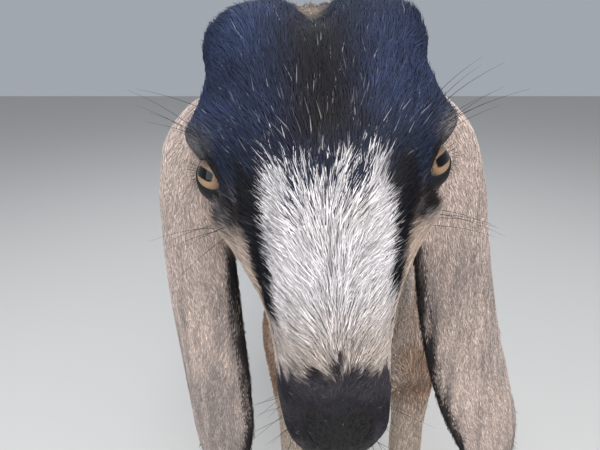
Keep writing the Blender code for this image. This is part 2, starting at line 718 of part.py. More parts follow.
def sculpted_head():
    """The head with its lids, sockets, nostrils and mouth, in place in the world."""
    head = head_form()
    combine(head, [lid_ring(side) for side in (1, -1)], "UNION")
    cutters = [eyeball("socket", side, CUT) for side in (1, -1)]
    cutters += [tube_cutter("nostril", NOSTRIL_LINE, NOSTRIL_RADIUS, side) for side in (1, -1)]
    cutters.append(mouth_cutter())
    combine(head, cutters, "DIFFERENCE")
    head.data.transform(head_to_world())
    return head


def claw(name, foot, side):
    """One half of a hoof, flat on the ground, with its toe to the front."""
    turns = np.linspace(0, 2 * math.pi, 14, endpoint=False)
    toe = np.where(np.sin(turns) < 0, CLAW_TOE, 1 - CLAW_TOE)
    rings = []
    for share, length, width in CLAW_RINGS:
        y = CLAW_LENGTH * length * toe * power(np.sin(turns), 0.85) + HEEL_RUN * (share - 0.5)
        x = CLAW_WIDTH * width / 2 * power(np.cos(turns), 0.8)
        x = x * (1 - CLAW_TAPER * np.clip(-y / CLAW_LENGTH, 0, 1))
        rings.append(np.stack([x, y, np.full_like(x, share * CLAW_HEIGHT)], -1))
    made = loft(name, rings)
    splay = Matrix.Rotation(-side * CLAW_SPLAY, 4, "Z")
    offset = Vector((side * (CLAW_WIDTH + CLAW_GAP) / 2, 0.004, 0))
    made.data.transform(Matrix.Translation(offset) @ splay)
    for vertex in made.data.vertices:
        vertex.co.z *= 1 - math.tan(CORONET_SLOPE) * vertex.co.y / CLAW_HEIGHT
    made.data.transform(Matrix.Translation(foot))
    return made


def half_space(point, normal, reach=1.5):
    """A box that fills what lies past a plane, from half a cut beyond it."""
    up = Vector(normal).normalized()
    turn = up.to_track_quat("Z", "Y").to_matrix().to_4x4()
    return block("half_space", Vector(point) + up * (reach + CUT) / 2, (reach, reach, reach), turn)


def foot_boxes():
    """Where the hooves take the place of the legs, sloping down to the heels."""
    boxes = []
    slope = Matrix.Rotation(-CORONET_SLOPE, 4, "X")
    depth = slope @ Vector((0, 0, FOOT_BOX / 2))
    for name in STEPS:
        top = foot_place(name) + Vector((0, 0, CLAW_HEIGHT + CUT))
        boxes.append(block("foot_box", top - depth, (0.10, 0.14, FOOT_BOX), slope))
    return boxes


def leg_and_tail_cuts():
    """The thin cuts that part the legs and the tail from the trunk."""
    cuts = [slab("tail_cut", *TAIL_CUT, 0.045, 0.034)]
    for side in (1, -1):
        fore = Vector((side * 0.105, FORE_Y - 0.005, FORELEG_TOP))
        hind = Vector((side * 0.117, HIND_Y - 0.035, HINDLEG_TOP))
        cuts.append(slab("fore_cut", fore, (0, 0, 1), 0.090, 0.100))
        cuts.append(slab("hind_cut", hind, (0, -0.15, 1), 0.080, 0.125))
    return cuts


def grown(made):
    """A copy of a form that stands out from it by the width of a cut."""
    other = copy_of(made)
    for vertex in other.data.vertices:
        vertex.co += vertex.normal * CUT
    return other


def node_name(points):
    """The name of the piece whose middle is nearest, from where its kind belongs."""
    low = [min(p[i] for p in points) for i in range(3)]
    high = [max(p[i] for p in points) for i in range(3)]
    middle = (Vector(low) + Vector(high)) / 2
    places = {"torso": Vector((0, 0.2, 0.57)), "tail": Vector((0, 0.59, 0.76))}
    for name in STEPS:
        x, y, _ = leg_stations(name)[7][:3]
        places[name] = Vector((x, y, 0.22))
    return min(places, key=lambda name: (places[name] - middle).length)


def copy_of(made):
    """A second object with a mesh of its own."""
    other = made.copy()
    other.data = made.data.copy()
    bpy.context.scene.collection.objects.link(other)
    return other


def largest(made, name):
    """The biggest closed surface of an object, under its node's name."""
    pieces = sorted(islands(made), key=lambda piece: len(piece[1]))
    return new_object(name, *pieces[-1])


def part_at(made, point, normal):
    """Two pieces of one, parted at a plane: what is past it, and what is before it."""
    past = combine(copy_of(made), [half_space(point, normal)], "INTERSECT")
    before = combine(made, [half_space(point, -Vector(normal))], "INTERSECT")
    return past, before


def centre_over_floor():
    """The whole animal moved so that the middle of its floor plan is the origin."""
    points = [vertex.co for one in bpy.data.objects for vertex in one.data.vertices]
    low = [min(p[i] for p in points) for i in range(3)]
    high = [max(p[i] for p in points) for i in range(3)]
    for one in bpy.data.objects:
        one.location = (-(low[0] + high[0]) / 2, -(low[1] + high[1]) / 2, -low[2])


def surface(name, colour, roughness):
    """A plain surface material."""
    made = bpy.data.materials.new(name)
    made.use_nodes = True
    shader = made.node_tree.nodes["Principled BSDF"]
    shader.inputs["Base Color"].default_value = (*colour, 1)
    shader.inputs["Roughness"].default_value = roughness
    shader.inputs["Metallic"].default_value = 0.0
    return made


def finish_surfaces():
    """A material for each piece, and smooth shading up to its creases."""
    for one in bpy.data.objects:
        colour, roughness = COLOURS[one.name.split("_")[0]]
        one.data.materials.append(surface(one.name, colour, roughness))
        one.data.shade_smooth()
        one.data.set_sharp_from_angle(angle=math.radians(38))


def main():
    for one in list(bpy.data.objects):
        bpy.data.objects.remove(one)
    body = combine(flesh_form(), [sculpted_head()], "UNION")
    for label in EARS:
        largest(combine(ear_form(label), [grown(body)], "DIFFERENCE"), f"ear_{label}")
    head, rest = part_at(body, HEAD_CUT, HEAD_CUT_WAY)
    neck, rest = part_at(rest, NECK_CUT, NECK_CUT_WAY)
    combine(rest, foot_boxes(), "DIFFERENCE")
    combine(rest, leg_and_tail_cuts(), "DIFFERENCE")
    largest(head, "head")
    largest(neck, "neck")
    for piece in islands(rest):
        new_object(node_name(piece[0]), *piece)
    for side, label in ((1, "left"), (-1, "right")):
        eye = eyeball(f"eye_{label}", side)
        eye.data.transform(head_to_world())
    for name in STEPS:
        hoof = name.replace("foreleg", "hoof_fore").replace("hindleg", "hoof_hind")
        for side, label in ((1, "outer"), (-1, "inner")):
            claw(f"{hoof}_{label}", foot_place(name), side if name.endswith("left") else -side)
    centre_over_floor()
    finish_surfaces()


main()
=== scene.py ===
"""A life-size Nubian doe: one seamless skin, wet eyes, horn claws and a short solid coat.

Metres, +Z up. The goat faces -Y and its left side is +X. The skin lies inside the solids
of the flesh by the depth of the coat. The coat is thin closed tufts that follow the lie
of the hair, and it carries the same markings as the skin under it.
"""

import logging
import math
from dataclasses import dataclass, field
from enum import Enum

import bmesh
import bpy
import numpy as np
from mathutils import Matrix, Vector
from mathutils.kdtree import KDTree


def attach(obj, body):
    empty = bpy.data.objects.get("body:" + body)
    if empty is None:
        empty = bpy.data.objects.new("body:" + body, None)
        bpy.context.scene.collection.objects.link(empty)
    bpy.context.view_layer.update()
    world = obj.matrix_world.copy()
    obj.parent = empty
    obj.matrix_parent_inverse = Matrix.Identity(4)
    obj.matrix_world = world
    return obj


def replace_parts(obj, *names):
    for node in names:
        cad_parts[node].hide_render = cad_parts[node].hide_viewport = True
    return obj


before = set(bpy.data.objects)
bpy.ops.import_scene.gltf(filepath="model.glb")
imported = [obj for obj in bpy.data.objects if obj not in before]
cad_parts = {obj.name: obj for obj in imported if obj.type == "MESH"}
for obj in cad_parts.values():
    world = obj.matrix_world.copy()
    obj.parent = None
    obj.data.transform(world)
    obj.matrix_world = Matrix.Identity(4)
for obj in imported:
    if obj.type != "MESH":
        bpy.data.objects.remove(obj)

log = logging.getLogger("goat")

CM = 0.01
HAIR_SIZES = ("length", "width", "lift", "count")  # metres, degrees, hairs a square centimetre
BODY = "root"
COLOURS = "coat"  # the layer of colours on every mesh
FLESH = ("head", "neck", "torso", "tail", "ear_left", "ear_right") + tuple(
    f"{leg}_{side}" for leg in ("foreleg", "hindleg") for side in ("left", "right")
)

# The head's own frame: +Z runs up the face and -Y looks out of it
EYE_LINE = Vector((-0.06265, -0.52569, 0.868))
HEAD_CORE = 1.2  # how far behind the eye line the middle of the head lies, in centimetres
HEAD_PITCH = math.radians(10)
HEAD_ROLL = math.radians(-3.6)
HEAD_PLACE = (
    Matrix.Translation(EYE_LINE) @ Matrix.Rotation(-HEAD_PITCH, 4, "X") @ Matrix.Rotation(HEAD_ROLL, 4, "Y")
)

# Head stations in centimetres: height, face, throat, half width, depth of the widest
# line, squareness of the face side, squareness of the throat side
HEAD = (
    (-17.0, 1.2, 2.2, 0.5, 1.7, 2.0, 2.0),
    (-16.8, 0.2, 3.1, 1.4, 1.7, 2.0, 2.0),
    (-16.2, -0.7, 3.7, 2.05, 1.6, 2.2, 2.2),
    (-15.3, -1.6, 4.2, 2.60, 1.5, 2.4, 2.3),
    (-14.2, -2.35, 4.4, 2.98, 1.4, 2.5, 2.4),
    (-12.8, -2.85, 4.5, 3.22, 1.4, 2.5, 2.4),
    (-11.0, -3.30, 4.7, 3.30, 1.4, 2.4, 2.4),
    (-9.0, -3.72, 5.1, 3.38, 1.5, 2.3, 2.2),
    (-7.0, -4.02, 5.8, 3.75, 1.5, 2.2, 2.1),
    (-5.0, -4.12, 6.7, 4.45, 1.4, 2.2, 2.0),
    (-3.2, -4.00, 7.8, 5.35, 1.2, 2.2, 2.0),
    (-1.4, -3.75, 8.9, 6.10, 0.9, 2.3, 1.9),
    (0.4, -3.35, 9.5, 6.55, 1.0, 2.4, 1.9),
    (2.0, -2.85, 9.5, 6.60, 1.4, 2.4, 2.0),
    (3.6, -2.25, 9.2, 6.30, 1.9, 2.4, 2.1),
    (5.0, -1.60, 8.6, 6.05, 2.4, 2.4, 2.1),
    (6.4, -0.75, 7.7, 6.00, 2.8, 2.4, 2.1),
    (7.6, 0.20, 6.8, 5.55, 3.1, 2.3, 2.0),
    (8.5, 1.30, 5.8, 4.30, 3.4, 2.1, 2.0),
    (9.0, 2.70, 4.6, 1.90, 3.5, 2.0, 2.0),
)
# Rises and hollows in centimetres, mirrored: place, reach, height, way (None for out)
RISES = (
    ((6.1, -0.3, 2.0), (1.7, 2.2, 0.9), 0.50, None),  # brow
    ((6.2, -0.8, -0.1), (1.6, 1.9, 1.3), -0.85, None),  # eye socket
    ((5.3, 0.0, -2.4), (1.4, 2.2, 0.9), 0.30, None),  # cheekbone
    ((4.3, -2.6, -1.8), (0.9, 1.0, 1.6), -0.20, None),  # tear hollow
    ((4.9, 5.6, -1.2), (1.5, 2.4, 2.8), 0.35, None),  # jaw muscle
    ((3.6, 0.8, -7.0), (1.0, 1.9, 2.0), -0.20, None),  # cheek hollow
    ((3.4, 1.2, 7.2), (2.2, 3.0, 1.6), 0.40, (0, -0.3, 1)),  # dome
    ((0.0, 1.6, 8.2), (0.95, 3.6, 1.9), -1.10, (0, -0.35, 1)),  # cleft
    ((6.2, 2.0, 4.7), (1.2, 2.6, 0.9), -0.15, None),  # waist under the bosses
    ((2.2, -1.7, -13.4), (0.7, 1.0, 1.2), 0.28, None),  # nostril wing
    ((0.0, -2.0, -14.4), (1.1, 0.8, 0.9), 0.18, None),  # nose pad
    ((2.0, 0.3, -15.4), (1.0, 0.9, 0.9), 0.24, None),  # upper lip
    ((1.6, 3.0, -15.8), (1.0, 0.6, 0.8), 0.14, None),  # lower lip
    ((0.0, 4.2, -15.0), (1.6, 0.9, 0.9), 0.32, None),  # chin
)
# The mouth and nostrils: height in centimetres and turn from the face's middle
MOUTH_LINE = ((-16.9, 128), (-16.4, 116), (-15.4, 110), (-14.0, 107), (-12.2, 110))
NOSTRIL_LINE = ((-11.7, 32), (-12.6, 30), (-13.4, 26), (-14.0, 19))

# Neck stations in metres: centre, half width, half depth
NECK = (
    (0.007, -0.181, 0.622, 0.082, 0.136),
    (-0.005, -0.261, 0.678, 0.068, 0.108),
    (-0.025, -0.331, 0.742, 0.057, 0.085),
    (-0.045, -0.394, 0.803, 0.050, 0.072),
    (-0.058, -0.444, 0.852, 0.040, 0.046),
)
# Where head and trunk are sewn together, the trunk's middle, and where the head's coat ends
NECK_CUT = Vector((-0.029, -0.345, 0.756)), Vector((-0.05, -0.95, 0.30)).normalized()
MIDLINE = 0.0073
NAPE, NAPE_WAY = np.array((-0.042, -0.376, 0.790)), np.array((0.0, -0.93, 0.36))

# The middle of each foot, and the sizes of a claw, in metres
FEET = {
    "fore_left": (0.12003, -0.18742),
    "fore_right": (-0.08047, -0.16831),
    "hind_left": (0.09717, 0.37737),
    "hind_right": (-0.08630, 0.41178),
}

# Ears: line in centimetres from the eye line, plumb, then width, curl in degrees, wall,
# how far the cup is filled, and the lean of each section in degrees
EARS = {
    "left": (
        (4.0, 7.2, 3.0, 6.2, 150, 0.60, 1.00, 25),
        (6.8, 7.3, 2.6, 6.8, 142, 0.60, 0.95, 40),
        (9.3, 7.2, 0.5, 7.8, 108, 0.50, 0.45, 66),
        (10.4, 7.1, -2.4, 8.8, 80, 0.44, 0.00, 84),
        (11.1, 6.9, -6.5, 9.6, 64, 0.42, 0.00, 90),
        (12.1, 6.7, -11.8, 10.1, 56, 0.40, 0.00, 90),
        (13.5, 6.5, -17.6, 10.1, 48, 0.38, 0.00, 90),
        (15.1, 6.4, -22.8, 9.2, 40, 0.36, 0.00, 90),
        (16.1, 6.3, -26.2, 6.8, 32, 0.34, 0.00, 90),
        (16.6, 6.2, -28.4, 1.8, 26, 0.26, 0.00, 90),
    ),
    "right": (
        (-4.4, 7.1, 2.5, 6.2, 150, 0.60, 1.00, 25),
        (-7.2, 7.2, 2.0, 6.8, 142, 0.60, 0.95, 40),
        (-9.3, 7.1, -0.2, 7.8, 108, 0.50, 0.45, 66),
        (-9.9, 7.0, -3.0, 8.8, 80, 0.44, 0.00, 84),
        (-10.0, 6.8, -7.2, 9.5, 66, 0.42, 0.00, 90),
        (-9.8, 6.6, -12.6, 9.9, 58, 0.40, 0.00, 90),
        (-9.3, 6.4, -18.5, 9.7, 50, 0.38, 0.00, 90),
        (-8.9, 6.3, -23.6, 8.7, 42, 0.36, 0.00, 90),
        (-8.7, 6.2, -26.6, 6.4, 34, 0.34, 0.00, 90),
        (-8.6, 6.1, -28.6, 1.8, 28, 0.26, 0.00, 90),
    ),
}
EAR_FACING = {"left": math.radians(35), "right": math.radians(41)}


def eased(keys: np.ndarray, rows: np.ndarray, places: np.ndarray) -> np.ndarray:
    """Rows of sizes carried smoothly from key to key.

    Args:
        keys: Where each row stands.
        rows: The rows of sizes.
        places: Where to read them.

    Returns:
        One row for each place.
    """
    keys, rows = np.asarray(keys, float), np.asarray(rows, float)
    places = np.clip(np.asarray(places, float), keys[0], keys[-1])
    slopes = np.gradient(rows, keys, axis=0)
    cell = np.clip(np.searchsorted(keys, places) - 1, 0, len(keys) - 2)
    span = (keys[cell + 1] - keys[cell])[:, None]
    t = (places - keys[cell])[:, None] / span
    return (
        (1 + 2 * t) * (1 - t) ** 2 * rows[cell]
        + t * (1 - t) ** 2 * span * slopes[cell]
        + t * t * (3 - 2 * t) * rows[cell + 1]
        + t * t * (t - 1) * span * slopes[cell + 1]
    )


def along(stations: tuple, count: int) -> np.ndarray:
    """Stations that start with a point, read at even steps along their path."""
    stations = np.asarray(stations, float)
    steps = np.linalg.norm(np.diff(stations[:, :3], axis=0), axis=1)
    keys = np.concatenate([[0], np.cumsum(steps)])
    return eased(keys, stations, np.linspace(0, keys[-1], count))


def power(value: np.ndarray, exponent: np.ndarray | float) -> np.ndarray:
    """A signed power, which squares off a sine or a cosine."""
    return np.sign(value) * np.abs(value) ** exponent


def step(low: float, high: float, value: np.ndarray) -> np.ndarray:
    """A smooth step from 0 at low to 1 at high."""
    t = np.clip((value - low) / (high - low), 0, 1)
    return t * t * (3 - 2 * t)


def blend(a: np.ndarray, b: np.ndarray, share: np.ndarray) -> np.ndarray:
    """Rows of a turned into rows of b by a share for each."""
    share = np.asarray(share, float)
    if np.ndim(a) > 1 or np.ndim(b) > 1 or (np.ndim(a) == 1 and len(a) == 3):
        share = share[..., None]
    return np.asarray(a) * (1 - share) + np.asarray(b) * share


def unit(ways: np.ndarray) -> np.ndarray:
    """Rows scaled to length one."""
    return ways / np.maximum(np.linalg.norm(ways, axis=-1, keepdims=True), 1e-12)


def ripple(points: np.ndarray, size: float, seed: int) -> np.ndarray:
    """A smooth seeded noise about zero, mostly within one.

    Args:
        points: Places in metres.
        size: The size of its patches in metres.
        seed: Which noise.

    Returns:
        One value for each place.
    """
    draw = np.random.default_rng(seed)
    total = np.zeros(len(points))
    for octave, weight in ((1.0, 0.55), (2.1, 0.30), (4.3, 0.15)):
        for _ in range(5):
            way = draw.normal(size=3)
            way *= 2.2 * octave / size / np.linalg.norm(way) * draw.uniform(0.7, 1.3)
            total += weight * np.sin(points @ way + draw.uniform(0, 2 * math.pi)) * 0.63
    return total


def object_of(name: str, shape: bmesh.types.BMesh) -> bpy.types.Object:
    """An object of its own that takes over a working mesh."""
    mesh = bpy.data.meshes.new(name)
    shape.to_mesh(mesh)
    shape.free()
    made = bpy.data.objects.new(name, mesh)
    bpy.context.scene.collection.objects.link(made)
    return made


def from_arrays(name: str, points: np.ndarray, faces: np.ndarray) -> bpy.types.Object:
    """An object from arrays of points and of triangles or quads."""
    mesh = bpy.data.meshes.new(name)
    sides = faces.shape[1]
    mesh.vertices.add(len(points))
    mesh.vertices.foreach_set("co", np.ascontiguousarray(points, np.float32).ravel())
    mesh.loops.add(faces.size)
    mesh.loops.foreach_set("vertex_index", np.ascontiguousarray(faces, np.int32).ravel())
    mesh.polygons.add(len(faces))
    mesh.polygons.foreach_set("loop_start", np.arange(0, faces.size, sides, dtype=np.int32))
    mesh.update(calc_edges=True)
    made = bpy.data.objects.new(name, mesh)
    bpy.context.scene.collection.objects.link(made)
    return made


def loft(name: str, rings: np.ndarray) -> bpy.types.Object:
    """A closed form over a stack of rings, its faces turned outwards."""
    rings = np.asarray(rings, float)
    count, around = rings.shape[:2]
    points = [*rings.reshape(-1, 3), rings[0].mean(0), rings[-1].mean(0)]
    faces = []
    for i in range(count - 1):
        for j in range(around):
            k = (j + 1) % around
            low, high = i * around, (i + 1) * around
            faces.append((low + j, low + k, high + k, high + j))
    top = (count - 1) * around
    for j in range(around):
        k = (j + 1) % around
        faces.append((count * around, k, j))
        faces.append((count * around + 1, top + j, top + k))
    mesh = bpy.data.meshes.new(name)
    mesh.from_pydata([tuple(p) for p in points], [], faces)
    shape = bmesh.new()
    shape.from_mesh(mesh)
    bmesh.ops.recalc_face_normals(shape, faces=shape.faces)
    return object_of(name, shape)


def limb(name: str, stations: tuple, count: int, around: int) -> bpy.types.Object:
    """A closed limb of oval rings that stand square to its path."""
    rows = along(stations, count)
    ways = unit(np.gradient(rows[:, :3], axis=0))
    turns = np.linspace(0, 2 * math.pi, around, endpoint=False)
    rings = []
    for row, way in zip(rows, ways):
        across = unit(np.array((1.0, 0, 0)) - way * way[0])
        deep = np.cross(way, across)
        oval = np.outer(np.cos(turns) * row[3], across) + np.outer(np.sin(turns) * row[4], deep)
        rings.append(row[:3] + oval)
    return loft(name, rings)


def apply_modifiers(made: bpy.types.Object) -> bpy.types.Object:
    """The object keeps the mesh that its modifiers make."""
    graph = bpy.context.evaluated_depsgraph_get()
    mesh = bpy.data.meshes.new_from_object(made.evaluated_get(graph))
    made.modifiers.clear()
    made.data = mesh
    return made


def combine(made: bpy.types.Object, others: list, operation: str) -> bpy.types.Object:
    """One Boolean on closed meshes, applied, and the others removed."""
    group = bpy.data.collections.new("operands")
    for other in others:
        group.objects.link(other)
    cut = made.modifiers.new("Join", "BOOLEAN")
    cut.operation = operation
    cut.operand_type = "COLLECTION"
    cut.collection = group
    cut.solver = "MANIFOLD"
    apply_modifiers(made)
    for other in others:
        bpy.data.objects.remove(other)
    bpy.data.collections.remove(group)
    return made


def joined(name: str, made: list) -> bpy.types.Object:
    """Several objects made one, with no union."""
    shape = bmesh.new()
    for one in made:
        shape.from_mesh(one.data)
        bpy.data.objects.remove(one)
    return object_of(name, shape)


def remeshed(made: bpy.types.Object, voxel: float, smoothing: int) -> bpy.types.Object:
    """The object as one even surface, smoothed."""
    even = made.modifiers.new("Even", "REMESH")
    even.mode = "VOXEL"
    even.voxel_size = voxel
    soften = made.modifiers.new("Soften", "SMOOTH")
    soften.factor = 0.5
    soften.iterations = smoothing
    return apply_modifiers(made)


def places_of(mesh: bpy.types.Mesh) -> np.ndarray:
    """The places of a mesh's points."""
    points = np.empty(len(mesh.vertices) * 3, np.float32)
    mesh.vertices.foreach_get("co", points)
    return points.reshape(-1, 3).astype(float)


def normals_of(mesh: bpy.types.Mesh) -> np.ndarray:
    """The smooth normals at a mesh's points."""
    normals = np.empty(len(mesh.vertices) * 3, np.float32)
    mesh.vertex_normals.foreach_get("vector", normals)
    return normals.reshape(-1, 3).astype(float)


def set_places(mesh: bpy.types.Mesh, points: np.ndarray) -> None:
    """Moves a mesh's points."""
    mesh.vertices.foreach_set("co", points.astype(np.float32).ravel())
    mesh.update()


def paint(mesh: bpy.types.Mesh, colours: np.ndarray) -> None:
    """Stores a linear colour at each point of a mesh."""
    layer = mesh.color_attributes.new(COLOURS, "FLOAT_COLOR", "POINT")
    rows = np.ones((len(colours), 4), np.float32)
    rows[:, :3] = colours
    layer.data.foreach_set("color", rows.ravel())


def finished(made: bpy.types.Object, finish: bpy.types.Material) -> bpy.types.Object:
    """The object, smooth, in its finish, and riding the body."""
    made.data.materials.append(finish)
    made.data.shade_smooth()
    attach(made, BODY)
    return made


def in_head(points: np.ndarray) -> np.ndarray:
    """World places in the head's own frame, in centimetres."""
    turn = np.array(HEAD_PLACE.inverted())
    return (points @ turn[:3, :3].T + turn[:3, 3]) / CM


def to_world(points: np.ndarray) -> np.ndarray:
    """Head places in centimetres, in the world in metres."""
    turn = np.array(HEAD_PLACE)
    return (points * CM) @ turn[:3, :3].T + turn[:3, 3]


def turned(local: np.ndarray) -> np.ndarray:
    """How far round from the face's middle head places lie, in degrees, on either side."""
    return np.degrees(np.abs(np.arctan2(local[:, 0], HEAD_CORE - local[:, 1])))


def aside(x: np.ndarray, out: float, ahead: float) -> np.ndarray:
    """A place of the head's frame for each x, mirrored to the side that x is on."""
    return np.stack([np.sign(x) * out, np.full(len(x), ahead), np.zeros(len(x))], -1)


def rows_of(count: int, *values: float) -> np.ndarray:
    """The same row for each of a number of places."""
    return np.tile(np.array(values), (count, 1))


def shifted(sizes: np.ndarray, share: np.ndarray, **towards: float) -> np.ndarray:
    """Rows of a hair's sizes, with the named ones moved to other values by a share."""
    sizes = sizes.copy()
    for name, value in towards.items():
        column = HAIR_SIZES.index(name)
        sizes[:, column] = blend(sizes[:, column], value, share)
    return sizes


class Part(Enum):
    """Where a point of the skin lies."""

    HEAD = 0
    BODY = 1
    EAR_LEFT = 2
    EAR_RIGHT = 3


@dataclass(frozen=True)
class Finish:
    """A procedural finish with fixed gloss, whose colour comes from an attribute."""

    name: str
    roughness: float = 0.5
    specular: float = 0.4
    grain: float = 0.0
    grain_size: float = 400.0
    bump: float = 0.0
    bump_depth: float = 0.0004
    coat: float = 0.0

    def build(self) -> bpy.types.Material:
        """The material, with its colour broken by a fine grain and its bump."""
        made = bpy.data.materials.new(self.name)
        made.use_nodes = True
        tree = made.node_tree
        shader = tree.nodes["Principled BSDF"]
        shader.inputs["Roughness"].default_value = self.roughness
        shader.inputs["Specular IOR Level"].default_value = self.specular
        shader.inputs["Coat Weight"].default_value = self.coat
        shader.inputs["Coat Roughness"].default_value = 0.05
        colour = tree.nodes.new("ShaderNodeAttribute")
        colour.attribute_name = COLOURS
        place = tree.nodes.new("ShaderNodeTexCoord")
        noise = tree.nodes.new("ShaderNodeTexNoise")
        noise.inputs["Scale"].default_value = self.grain_size
        noise.inputs["Detail"].default_value = 3.0
        tree.links.new(place.outputs["Object"], noise.inputs["Vector"])
        shade = tree.nodes.new("ShaderNodeMapRange")
        shade.inputs["From Min"].default_value = 0.3
        shade.inputs["From Max"].default_value = 0.7
        shade.inputs["To Min"].default_value = 1 - self.grain
        shade.inputs["To Max"].default_value = 1 + self.grain
        tree.links.new(noise.outputs["Fac"], shade.inputs["Value"])
        tint = tree.nodes.new("ShaderNodeVectorMath")
        tint.operation = "SCALE"
        tree.links.new(colour.outputs["Color"], tint.inputs[0])
        tree.links.new(shade.outputs["Result"], tint.inputs["Scale"])
        tree.links.new(tint.outputs["Vector"], shader.inputs["Base Color"])
        if self.bump:
            relief = tree.nodes.new("ShaderNodeBump")
            relief.inputs["Strength"].default_value = self.bump
            relief.inputs["Distance"].default_value = self.bump_depth
            tree.links.new(noise.outputs["Fac"], relief.inputs["Height"])
            tree.links.new(relief.outputs["Normal"], shader.inputs["Normal"])
        return made


# Linear colours of the coat, the bare skin and the horn
BLUE_BLACK = np.array((0.014, 0.019, 0.040))
# Painted sheen: the blue highlight painted on the dark hair of the poll
PAINTED_BLUE_SHEEN = np.array((0.040, 0.058, 0.130))
BROWN_BLACK = np.array((0.016, 0.012, 0.013))
BLACK = np.array((0.007, 0.007, 0.010))
WHITE = np.array((0.700, 0.665, 0.680))
WARM_WHITE = np.array((0.560, 0.480, 0.430))
CREAM = np.array((0.480, 0.390, 0.335))
TAN = np.array((0.400, 0.300, 0.235))
CHARCOAL = np.array((0.052, 0.046, 0.056))
GREY_HAIR = np.array((0.190, 0.175, 0.175))
EAR_TAN = np.array((0.600, 0.480, 0.425))
EAR_GREY = np.array((0.235, 0.205, 0.195))
EAR_PINK = np.array((0.500, 0.390, 0.345))
EAR_EDGE = np.array((0.020, 0.016, 0.018))
PALE_LEG = np.array((0.480, 0.385, 0.310))
FAWN = np.array((0.290, 0.165, 0.095))
RUST = np.array((0.190, 0.092, 0.048))
DORSAL = np.array((0.022, 0.016, 0.014))
NOSE = np.array((0.012, 0.011, 0.013))
PINK_SKIN = np.array((0.330, 0.200, 0.175))
IRIS_NEAR = np.array((0.360, 0.230, 0.140))
IRIS_FAR = np.array((0.200, 0.120, 0.070))
LID_SHADOW_ON_IRIS = np.array((0.045, 0.038, 0.038))
EYE_RIM = np.array((0.020, 0.016, 0.015))
PUPIL = np.array((0.001, 0.001, 0.002))
HORN = np.array((0.040, 0.034, 0.030))
HORN_PALE = np.array((0.135, 0.110, 0.088))
STRAND = np.array((0.010, 0.009, 0.010))


